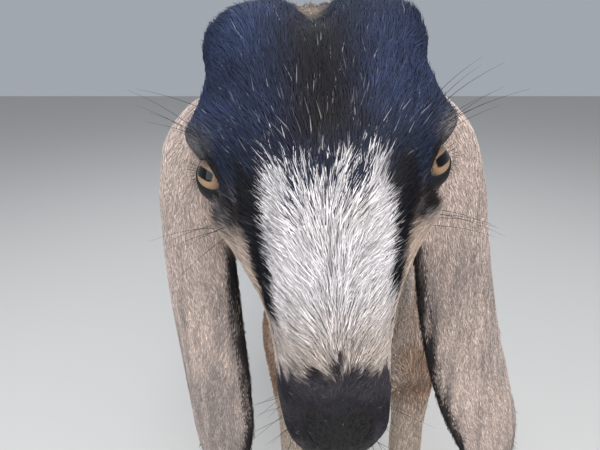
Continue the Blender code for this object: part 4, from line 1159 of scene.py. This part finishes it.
@dataclass
class Coat:
    """Closed three-sided locks rooted in the skin, in pieces of a bounded size."""

    field_of: Field
    seed: int = 5
    sink: float = 0.0005

    def sample(self, skin: bpy.types.Object) -> dict[str, np.ndarray]:
        """Roots spread over the skin by how thick the coat grows there.

        Args:
            skin: The finished skin.

        Returns:
            The roots, their normals and the parts they are on.
        """
        mesh = skin.data
        mesh.calc_loop_triangles()
        corners = np.empty(len(mesh.loop_triangles) * 3, np.int32)
        mesh.loop_triangles.foreach_get("vertices", corners)
        corners = corners.reshape(-1, 3)
        points, normals = places_of(mesh), normals_of(mesh)
        trio = points[corners]
        area = np.linalg.norm(np.cross(trio[:, 1] - trio[:, 0], trio[:, 2] - trio[:, 0]), axis=1) / 2
        centres = trio.mean(1)
        sorted_as = self.field_of.sort(centres)
        thick = self.field_of.hair(centres, sorted_as)["count"]
        bare = self.bare(centres)
        weight = np.cumsum(area * 1e4 * thick * bare)
        draw = np.random.default_rng(self.seed)
        total = int(weight[-1])
        places = (np.arange(total) + draw.uniform(0, 1, total)) / total * weight[-1]
        chosen = np.minimum(np.searchsorted(weight, places), len(weight) - 1)
        a, b = draw.uniform(0, 1, total), draw.uniform(0, 1, total)
        over = a + b > 1
        a[over], b[over] = 1 - a[over], 1 - b[over]
        share = np.stack([1 - a - b, a, b], -1)
        roots = (trio[chosen] * share[:, :, None]).sum(1)
        ways = unit((normals[corners[chosen]] * share[:, :, None]).sum(1))
        return {"root": roots, "normal": ways, "sorted": tuple(row[chosen] for row in sorted_as)}

    def bare(self, points: np.ndarray) -> np.ndarray:
        """0 where no tuft grows: inside the lids and on the soles; a quarter as many on the nose and lips.
        """
        local = in_head(points)
        eye = np.linalg.norm(local - aside(local[:, 0], 4.85, 0.25), axis=1)
        outward = np.abs(local[:, 0]) > 4.4
        grows = np.where(outward & (eye < 1.80), 0.0, 1.0)
        pad = (np.abs(local[:, 0]) < 1.9) & (local[:, 2] < -11.6) & (local[:, 1] < 1.0) & (local[:, 2] > -18)
        grows = np.where(pad, 0.25, grows)
        return np.where((points[:, 2] < 0.030) & (points[:, 1] < 0.6), 0.0, grows)

    def shapes(self, roots: dict[str, np.ndarray]) -> dict[str, np.ndarray]:
        """The points, normals and colours of every tuft.

        Args:
            roots: What sample() gives.

        Returns:
            Points, normals and colours with five rows a tuft, and the roots' own places.
        """
        root, normal, sorted_as = roots["root"], roots["normal"], roots["sorted"]
        count = len(root)
        draw = np.random.default_rng(self.seed + 1)
        hair = self.field_of.hair(root, sorted_as)
        way = self.field_of.lie(root, normal, sorted_as)
        across = np.cross(normal, way)
        lock = ripple(root, 0.007, 51) * 0.20 + draw.normal(0, 0.13, count)
        way = unit(way + across * lock[:, None])
        across = np.cross(normal, way)
        length = hair["length"] * draw.uniform(0.65, 1.25, count)
        width = hair["width"] * draw.uniform(0.7, 1.3, count)
        lift = np.radians(hair["lift"] * draw.uniform(0.5, 1.5, count))
        droop = lift * draw.uniform(-0.5, 0.3, count)
        sway = draw.normal(0, 0.10, count)

        def lean(angle: np.ndarray) -> np.ndarray:
            """The way of a hair that stands up from the skin by an angle."""
            return way * np.cos(angle)[:, None] + normal * np.sin(angle)[:, None]

        base = root - normal * self.sink
        middle = root + lean(lift) * (length * 0.42)[:, None]
        tip = middle + (lean(droop) + across * sway[:, None]) * (length * 0.58)[:, None]
        half, tall = across * (width / 2)[:, None], normal * (width * 0.5)[:, None]
        points = np.stack([base, middle - half, middle + half, middle + tall, tip], 1)
        tilt = across * 0.5
        normals = np.stack([normal, normal - tilt, normal + tilt, normal, normal], 1)
        colour = self.field_of.colour(root + way * (length * 0.5)[:, None], normal, sorted_as)
        tone = np.exp(draw.normal(-0.02, 0.27, count))
        light = self.stray(root, sorted_as, draw)
        colour = colour * tone[:, None] + light
        # Painted shade along each tuft: dark at the root, where the coat shades it, and lighter towards the
        # tip
        shade = np.array((0.28, 0.90, 0.90, 1.02, 1.18))
        colours = colour[:, None, :] * shade[None, :, None]
        grown = {"points": points, "normals": unit(normals), "colours": colours}
        return grown | {"root": root, "part": sorted_as[0]}

    def stray(self, root: np.ndarray, sorted_as: tuple, draw: np.random.Generator) -> np.ndarray:
        """Pale hairs strewn among the dark ones of the head."""
        local = in_head(root)
        head = sorted_as[0] == Part.HEAD.value
        brow = np.exp(-(((local[:, 2] - 1.6) / 2.4) ** 2) - (local[:, 0] / 3.2) ** 2)
        chance = np.where(head & (local[:, 2] > 0.4), 0.012 + 0.05 * brow, 0.0)
        chance = np.where(head & (local[:, 2] < -9.5), 0.008, chance)
        pale = draw.uniform(0, 1, len(root)) < chance
        amount = np.where(pale, draw.uniform(0.03, 0.19, len(root)), 0.0)
        return amount[:, None] * np.array((0.98, 0.95, 1.0))

    def unwrap(self, root: np.ndarray, part: np.ndarray) -> np.ndarray:
        """Each root's place on an unwrap of the skin, part by part, from 0 to 1 each way."""
        local = in_head(root)
        turn = np.arctan2(local[:, 0], HEAD_CORE - local[:, 1]) / (2 * math.pi) + 0.5
        head = np.stack([turn, (local[:, 2] + 17.5) / 27.5], -1)
        legs = root[:, 2] < 0.40
        round_body = np.arctan2(root[:, 0], root[:, 2] - 0.55) / (2 * math.pi) + 0.5
        trunk = np.stack([round_body * 0.62, (root[:, 1] + 0.46) / 1.08], -1)
        column = np.where(root[:, 1] < 0.1, 0.0, 1.0) + np.where(root[:, 0] < 0, 0.0, 2.0)
        centre_x = np.where(root[:, 0] < 0, -0.090, 0.098)
        centre_y = np.where(root[:, 1] < 0.1, -0.155, 0.44)
        round_leg = np.arctan2(root[:, 0] - centre_x, root[:, 1] - centre_y) / (2 * math.pi) + 0.5
        limbs = np.stack([0.64 + (column + round_leg * 0.94) * 0.088, root[:, 2] / 0.41], -1)
        ear = np.stack([(root[:, 0] * 0.8 + root[:, 1]) * 3.2 % 0.98, (root[:, 2] - 0.57) / 0.36], -1)
        body = np.where(legs[:, None], limbs, trunk)
        placed = np.where((part == Part.HEAD.value)[:, None], head, body)
        placed = np.where((part >= Part.EAR_LEFT.value)[:, None], ear, placed)
        return 0.01 + 0.98 * np.clip(placed, 0, 1)

    def piece(
        self, name: str, grown: dict, chosen: np.ndarray, finish: bpy.types.Material
    ) -> bpy.types.Object:
        """Joins the chosen tufts into one mesh, with its colours, normals and unwrap."""
        count = len(chosen)
        points = grown["points"][chosen].reshape(-1, 3)
        tuft = np.array(((0, 2, 1), (0, 3, 2), (0, 1, 3), (1, 2, 4), (2, 3, 4), (3, 1, 4)))
        sample = grown["points"][chosen[0]]
        if sum(np.dot(sample[a], np.cross(sample[b], sample[c])) for a, b, c in tuft) < 0:
            tuft = tuft[:, ::-1]
        faces = (tuft[None] + 5 * np.arange(count)[:, None, None]).reshape(-1, 3)
        made = from_arrays(name, points, faces)
        mesh = made.data
        paint(mesh, grown["colours"][chosen].reshape(-1, 3))
        patch = np.array(((0, -1), (-1, 0), (1, 0), (0, 0.3), (0, 1))) * 0.0015
        place = self.unwrap(grown["root"][chosen], grown["part"][chosen])
        spots = (place[:, None, :] + patch[None]).reshape(-1, 2)
        layer = mesh.uv_layers.new(name="OFBake")
        layer.data.foreach_set("uv", spots[faces.ravel()].astype(np.float32).ravel())
        mesh.shade_smooth()
        normals = grown["normals"][chosen].reshape(-1, 3).astype(np.float32)
        mesh.normals_split_custom_set_from_vertices(normals)
        mesh.materials.append(finish)
        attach(made, BODY)
        log.info("%s: %d tufts", name, count)
        return made

    def build(self, skin: bpy.types.Object, finish: bpy.types.Material, most: int = 32000) -> None:
        """Grows the whole coat and joins it part by part."""
        grown = self.shapes(self.sample(skin))
        part, root = grown["part"], grown["root"]
        fore = root[:, 1] < -0.12
        groups = {
            "coat_head": (part == Part.HEAD.value, "head_coat"),
            "coat_ear_left": (part == Part.EAR_LEFT.value, "ear_coat"),
            "coat_ear_right": (part == Part.EAR_RIGHT.value, "ear_coat"),
            "coat_neck": ((part == Part.BODY.value) & fore, "body_coat"),
            "coat_body": ((part == Part.BODY.value) & ~fore, "body_coat"),
        }
        draw = np.random.default_rng(self.seed + 2)
        for name, (mask, slot) in groups.items():
            chosen = draw.permutation(np.where(mask)[0])
            pieces = max(1, math.ceil(len(chosen) / most))
            for number in range(pieces):
                some = np.sort(chosen[number::pieces])
                self.piece(f"{name}_{number + 1}", grown, some, finish)


@dataclass
class Hoof:
    """The claws of the feet, finer than their solids and let up into the skin."""

    finish: bpy.types.Material
    length: float = 0.058
    width: float = 0.0225
    height: float = 0.034
    gap: float = 0.0030
    toe: float = 0.62
    taper: float = 0.30
    heel_run: float = 0.012
    splay: float = 5.0
    slope: float = 14.0
    profile: tuple = (
        (0.0, 0.950, 0.930),
        (0.03, 0.980, 0.968),
        (0.12, 0.974, 0.990),
        (0.55, 0.885, 0.972),
        (1.0, 0.780, 0.935),
        (1.35, 0.640, 0.800),
    )
    rings: int = 44
    around: int = 56

    def claw(self, foot: str, label: str, side: int) -> bpy.types.Object:
        """One claw, flat on the floor, with the horn's growth rings.

        Args:
            foot: Which of the feet.
            label: inner or outer.
            side: The way it lies from the foot's middle.

        Returns:
            The claw as a piece that takes the place of its solid.
        """
        turns = np.linspace(0, 2 * math.pi, self.around, endpoint=False)
        toe = np.where(np.sin(turns) < 0, self.toe, 1 - self.toe)
        shares = np.linspace(0, self.profile[-1][0], self.rings)
        rows = eased([row[0] for row in self.profile], self.profile, shares)
        rings = []
        for share, (_, length, width) in zip(shares, rows):
            ridge = 1 + 0.008 * math.sin(share * 52 + 2 * math.sin(share * 9)) * (0.08 < share < 0.95)
            y = self.length * length * ridge * toe * power(np.sin(turns), 0.85)
            y = y + self.heel_run * (share - 0.5)
            x = self.width * width * ridge / 2 * power(np.cos(turns), 0.8)
            x = x * (1 - self.taper * np.clip(-y / self.length, 0, 1))
            z = share * self.height * (1 - math.tan(math.radians(self.slope)) * y / self.height)
            rings.append(np.stack([x, y, z], -1))
        made = loft(f"hoof_{foot}_{label}_horn", rings)
        place = Vector((*FEET[foot], 0)) + Vector((side * (self.width + self.gap) / 2, 0.004, 0))
        turn = Matrix.Rotation(-side * math.radians(self.splay), 4, "Z")
        made.data.transform(Matrix.Translation(place) @ turn)
        points = places_of(made.data)
        band = ripple(points * (0.25, 0.25, 1), 0.006, 61) + 0.4 * ripple(points, 0.004, 63)
        colour = blend(HORN, HORN_PALE, step(-0.2, 1.1, band) * 0.7)
        colour = blend(colour, HORN_PALE * 1.3, step(0.006, 0.001, points[:, 2]) * 0.6)
        paint(made.data, colour)
        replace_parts(finished(made, self.finish), f"hoof_{foot}_{label}")
        return made

    def build(self) -> None:
        """All eight claws."""
        for foot in FEET:
            outward = 1 if foot.endswith("left") else -1
            self.claw(foot, "outer", outward)
            self.claw(foot, "inner", -outward)
        log.info("hooves: %d claws", 2 * len(FEET))


@dataclass
class Strands:
    """Lashes, brow hairs and whiskers: lines that a node tree makes into tapered hairs."""

    skin: bpy.types.Object
    finish: bpy.types.Material
    width: float = 0.00016
    sides: int = 4
    points: int = 7
    lash_count: int = 44
    seed: int = 9

    def tree(self) -> tuple[bpy.types.NodeTree, dict[str, str]]:
        """The node tree that thickens lines, and its inputs' identifiers by name."""
        group = bpy.data.node_groups.new("tapered_strands", "GeometryNodeTree")
        sockets = group.interface
        sockets.new_socket("Lines", in_out="INPUT", socket_type="NodeSocketGeometry")
        kinds = {"Width": "NodeSocketFloat", "Sides": "NodeSocketInt", "Hair": "NodeSocketMaterial"}
        inputs = {
            name: sockets.new_socket(name, in_out="INPUT", socket_type=kind).identifier
            for name, kind in kinds.items()
        }
        sockets.new_socket("Strands", in_out="OUTPUT", socket_type="NodeSocketGeometry")
        new, link = group.nodes.new, group.links.new
        given, result = new("NodeGroupInput"), new("NodeGroupOutput")
        curve, radius = new("GeometryNodeMeshToCurve"), new("GeometryNodeSetCurveRadius")
        tube, circle = new("GeometryNodeCurveToMesh"), new("GeometryNodeCurvePrimitiveCircle")
        where, taper = new("GeometryNodeSplineParameter"), new("ShaderNodeMapRange")
        real, dress = new("GeometryNodeRealizeInstances"), new("GeometryNodeSetMaterial")
        taper.inputs["To Min"].default_value = 1.0
        taper.inputs["To Max"].default_value = 0.18
        tube.inputs["Fill Caps"].default_value = True
        link(given.outputs["Lines"], curve.inputs["Mesh"])
        link(where.outputs["Factor"], taper.inputs["Value"])
        link(curve.outputs["Curve"], radius.inputs["Curve"])
        link(taper.outputs["Result"], radius.inputs["Radius"])
        link(given.outputs["Sides"], circle.inputs["Resolution"])
        link(given.outputs["Width"], circle.inputs["Radius"])
        link(radius.outputs["Curve"], tube.inputs["Curve"])
        if "Scale" in tube.inputs:
            link(taper.outputs["Result"], tube.inputs["Scale"])
        link(circle.outputs["Curve"], tube.inputs["Profile Curve"])
        link(tube.outputs["Mesh"], real.inputs["Geometry"])
        link(real.outputs["Geometry"], dress.inputs["Geometry"])
        link(given.outputs["Hair"], dress.inputs["Material"])
        link(dress.outputs["Geometry"], result.inputs["Strands"])
        return group, inputs

    def line(self, root: Vector, way: Vector, bend: Vector, length: float) -> list[Vector]:
        """The points of one hair that leaves along a way and bends to another."""
        shares = [i / (self.points - 1) for i in range(self.points)]
        return [root + way.normalized() * (length * t) + bend * (length * t * t) for t in shares]

    def lashes(self, side: int, draw: np.random.Generator) -> list:
        """Hairs along the edges of the lids of one eye."""
        size = EyeSize()
        frame_of = size.frame(side)
        turn = frame_of.to_3x3()
        lines = []
        for index in range(self.lash_count):
            angle = 2 * math.pi * (index + draw.uniform(-0.45, 0.45)) / self.lash_count
            gap = float(size.gap(np.array([angle]))[0]) + 0.05
            out = Vector((math.sin(gap) * math.cos(angle), math.sin(gap) * math.sin(angle), math.cos(gap)))
            away = Vector((math.cos(angle), math.sin(angle), 0))
            root = frame_of @ (out * (size.radius + 0.9 * size.lid_thickness) * CM)
            upper = (turn @ away).z > -0.15
            length = draw.uniform(0.004, 0.008) if upper else draw.uniform(0.002, 0.004)
            way = turn @ (out * 0.9 + away * 0.55)
            bend = turn @ (away * (0.35 if upper else 0.1))
            lines.append(self.line(root, way, bend, length))
        return lines

    def feelers(self, side: int, draw: np.random.Generator) -> list:
        """Long single hairs over the eye, on the cheek, the lips and the chin of one side."""
        patches = (
            ((5.6, -1.3, 2.0), 0.5, (0.62, -0.45, 0.65), (0.25, 0.1, -0.1), (0.016, 0.036), 8),
            ((5.6, -0.8, -2.8), 0.5, (0.9, -0.35, -0.12), (0.1, 0.1, -0.25), (0.020, 0.036), 5),
            ((3.0, -1.6, -12.2), 0.9, (0.8, -0.5, -0.2), (0.1, 0.2, -0.2), (0.012, 0.026), 9),
            ((1.8, -0.6, -15.8), 0.8, (0.5, -0.6, -0.6), (0.1, 0.2, -0.3), (0.010, 0.020), 8),
            ((1.0, 4.2, -15.6), 0.9, (0.3, 0.1, -0.95), (0.1, 0.3, -0.1), (0.014, 0.030), 9),
        )
        head_turn = HEAD_PLACE.to_3x3()
        lines = []
        for place, spread, way, bend, lengths, count in patches:
            for _ in range(count):
                near = Vector(place) + Vector(draw.normal(0, spread, 3))
                near.x *= side
                _, root, normal, _ = self.skin.closest_point_on_mesh(HEAD_PLACE @ (near * CM))
                aim = Vector(way) + Vector(draw.normal(0, 0.16, 3))
                aim.x *= side
                curve = Vector((bend[0] * side, bend[1], bend[2]))
                start = root - normal * 0.0006
                lines.append(self.line(start, head_turn @ aim, head_turn @ curve, draw.uniform(*lengths)))
        return lines

    def build(self) -> None:
        """All the single hairs, as one piece."""
        draw = np.random.default_rng(self.seed)
        lines = []
        for side in (1, -1):
            lines += self.lashes(side, draw) + self.feelers(side, draw)
        points = [tuple(point) for line in lines for point in line]
        edges = [(i, i + 1) for i in range(len(points) - 1) if (i + 1) % self.points]
        mesh = bpy.data.meshes.new("strands")
        mesh.from_pydata(points, edges, [])
        made = bpy.data.objects.new("lashes_and_whiskers", mesh)
        bpy.context.scene.collection.objects.link(made)
        group, inputs = self.tree()
        nodes = made.modifiers.new("Strands", "NODES")
        nodes.node_group = group
        nodes[inputs["Width"]] = self.width
        nodes[inputs["Sides"]] = self.sides
        nodes[inputs["Hair"]] = self.finish
        apply_modifiers(made)
        paint(made.data, np.tile(STRAND, (len(made.data.vertices), 1)))
        made.data.shade_smooth()
        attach(made, BODY)
        log.info("strands: %d hairs, %d points", len(lines), len(made.data.vertices))


@dataclass
class Studio:
    """The floor, the soft light and the camera of the photograph."""

    focal: float = 451.0
    pitch: float = math.radians(22)
    distance: float = 0.228
    eye_pixel: tuple = (323.0, 170.5)

    def camera(self) -> None:
        """A camera a hand's breadth over the face, with the photograph's framing."""
        back = Vector((0, -math.cos(self.pitch), math.sin(self.pitch)))
        right = Vector((1, 0, 0))
        up = back.cross(right)
        place = EYE_LINE + back * self.distance
        place -= right * (self.eye_pixel[0] - 300) / self.focal * self.distance
        place -= up * (225 - self.eye_pixel[1]) / self.focal * self.distance
        made = bpy.data.objects.new("camera", bpy.data.cameras.new("camera"))
        made.data.sensor_width = 36
        made.data.lens = self.focal / 600 * 36
        made.data.clip_start = 0.01
        turn = Matrix((right, up, back)).transposed().to_4x4()
        made.matrix_world = Matrix.Translation(place) @ turn
        bpy.context.scene.collection.objects.link(made)
        bpy.context.scene.camera = made

    def lamp(self, name: str, place: tuple, aim: tuple, size: float, power_of: float, tint: tuple) -> None:
        """One soft area light."""
        lamp = bpy.data.lights.new(name, "AREA")
        lamp.size = size
        lamp.energy = power_of
        lamp.color = tint
        made = bpy.data.objects.new(name, lamp)
        made.location = place
        made.rotation_euler = (Vector(aim) - Vector(place)).to_track_quat("-Z", "Y").to_euler()
        bpy.context.scene.collection.objects.link(made)

    def build(self) -> None:
        """Floor, lights, world and camera."""
        self.camera()
        shape = bmesh.new()
        bmesh.ops.create_grid(shape, x_segments=1, y_segments=1, size=8)
        floor = object_of("floor", shape)
        surface = bpy.data.materials.new("pale_floor")
        surface.use_nodes = True
        shader = surface.node_tree.nodes["Principled BSDF"]
        shader.inputs["Base Color"].default_value = (0.62, 0.60, 0.57, 1)
        shader.inputs["Roughness"].default_value = 0.9
        floor.data.materials.append(surface)
        self.lamp("key", (0.7, -2.6, 2.6), (0, -0.4, 0.8), 1.8, 74, (1.0, 0.98, 0.95))
        self.lamp("fill", (-2.0, -1.8, 1.5), (0, -0.3, 0.7), 2.0, 26, (0.92, 0.96, 1.0))
        self.lamp("sky", (0.0, 0.2, 3.2), (0, 0.0, 0.6), 3.0, 60, (0.86, 0.92, 1.0))
        world = bpy.data.worlds.new("world")
        world.use_nodes = True
        sky = world.node_tree.nodes["Background"]
        sky.inputs["Color"].default_value = (0.80, 0.86, 0.95, 1)
        sky.inputs["Strength"].default_value = 0.45
        bpy.context.scene.world = world
        bpy.context.scene.view_settings.view_transform = "Standard"


def main() -> None:
    """Builds the goat and its studio, and reports each piece."""
    logging.basicConfig(level=logging.INFO, format="%(name)s %(message)s")
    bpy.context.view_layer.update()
    Studio().build()
    field_of = Field()
    finishes = (
        Finish("short_coat", specular=0.14, grain=0.10, grain_size=900.0),
        Finish(
            "hide", roughness=0.62, specular=0.30, grain=0.30, grain_size=700.0, bump=0.6, bump_depth=0.0006
        ),
        Finish("wet_eye", roughness=0.06, specular=0.15, grain=0.10, grain_size=2500.0, coat=0.30),
        Finish("horn", roughness=0.45, grain=0.25, grain_size=350.0, bump=0.4, bump_depth=0.0003),
        Finish("strand", roughness=0.4, specular=0.3),
    )
    coat, hide, wet, horn, strand = (finish.build() for finish in finishes)
    maker = Skin(field_of)
    skin = maker.build()
    maker.dress(skin, hide)
    Coat(field_of).build(skin, coat)
    for side, label in ((1, "left"), (-1, "right")):
        Eye().build(label, side, wet)
    Hoof(horn).build()
    Strands(skin, strand).build()


if __name__ == "__main__":
    main()
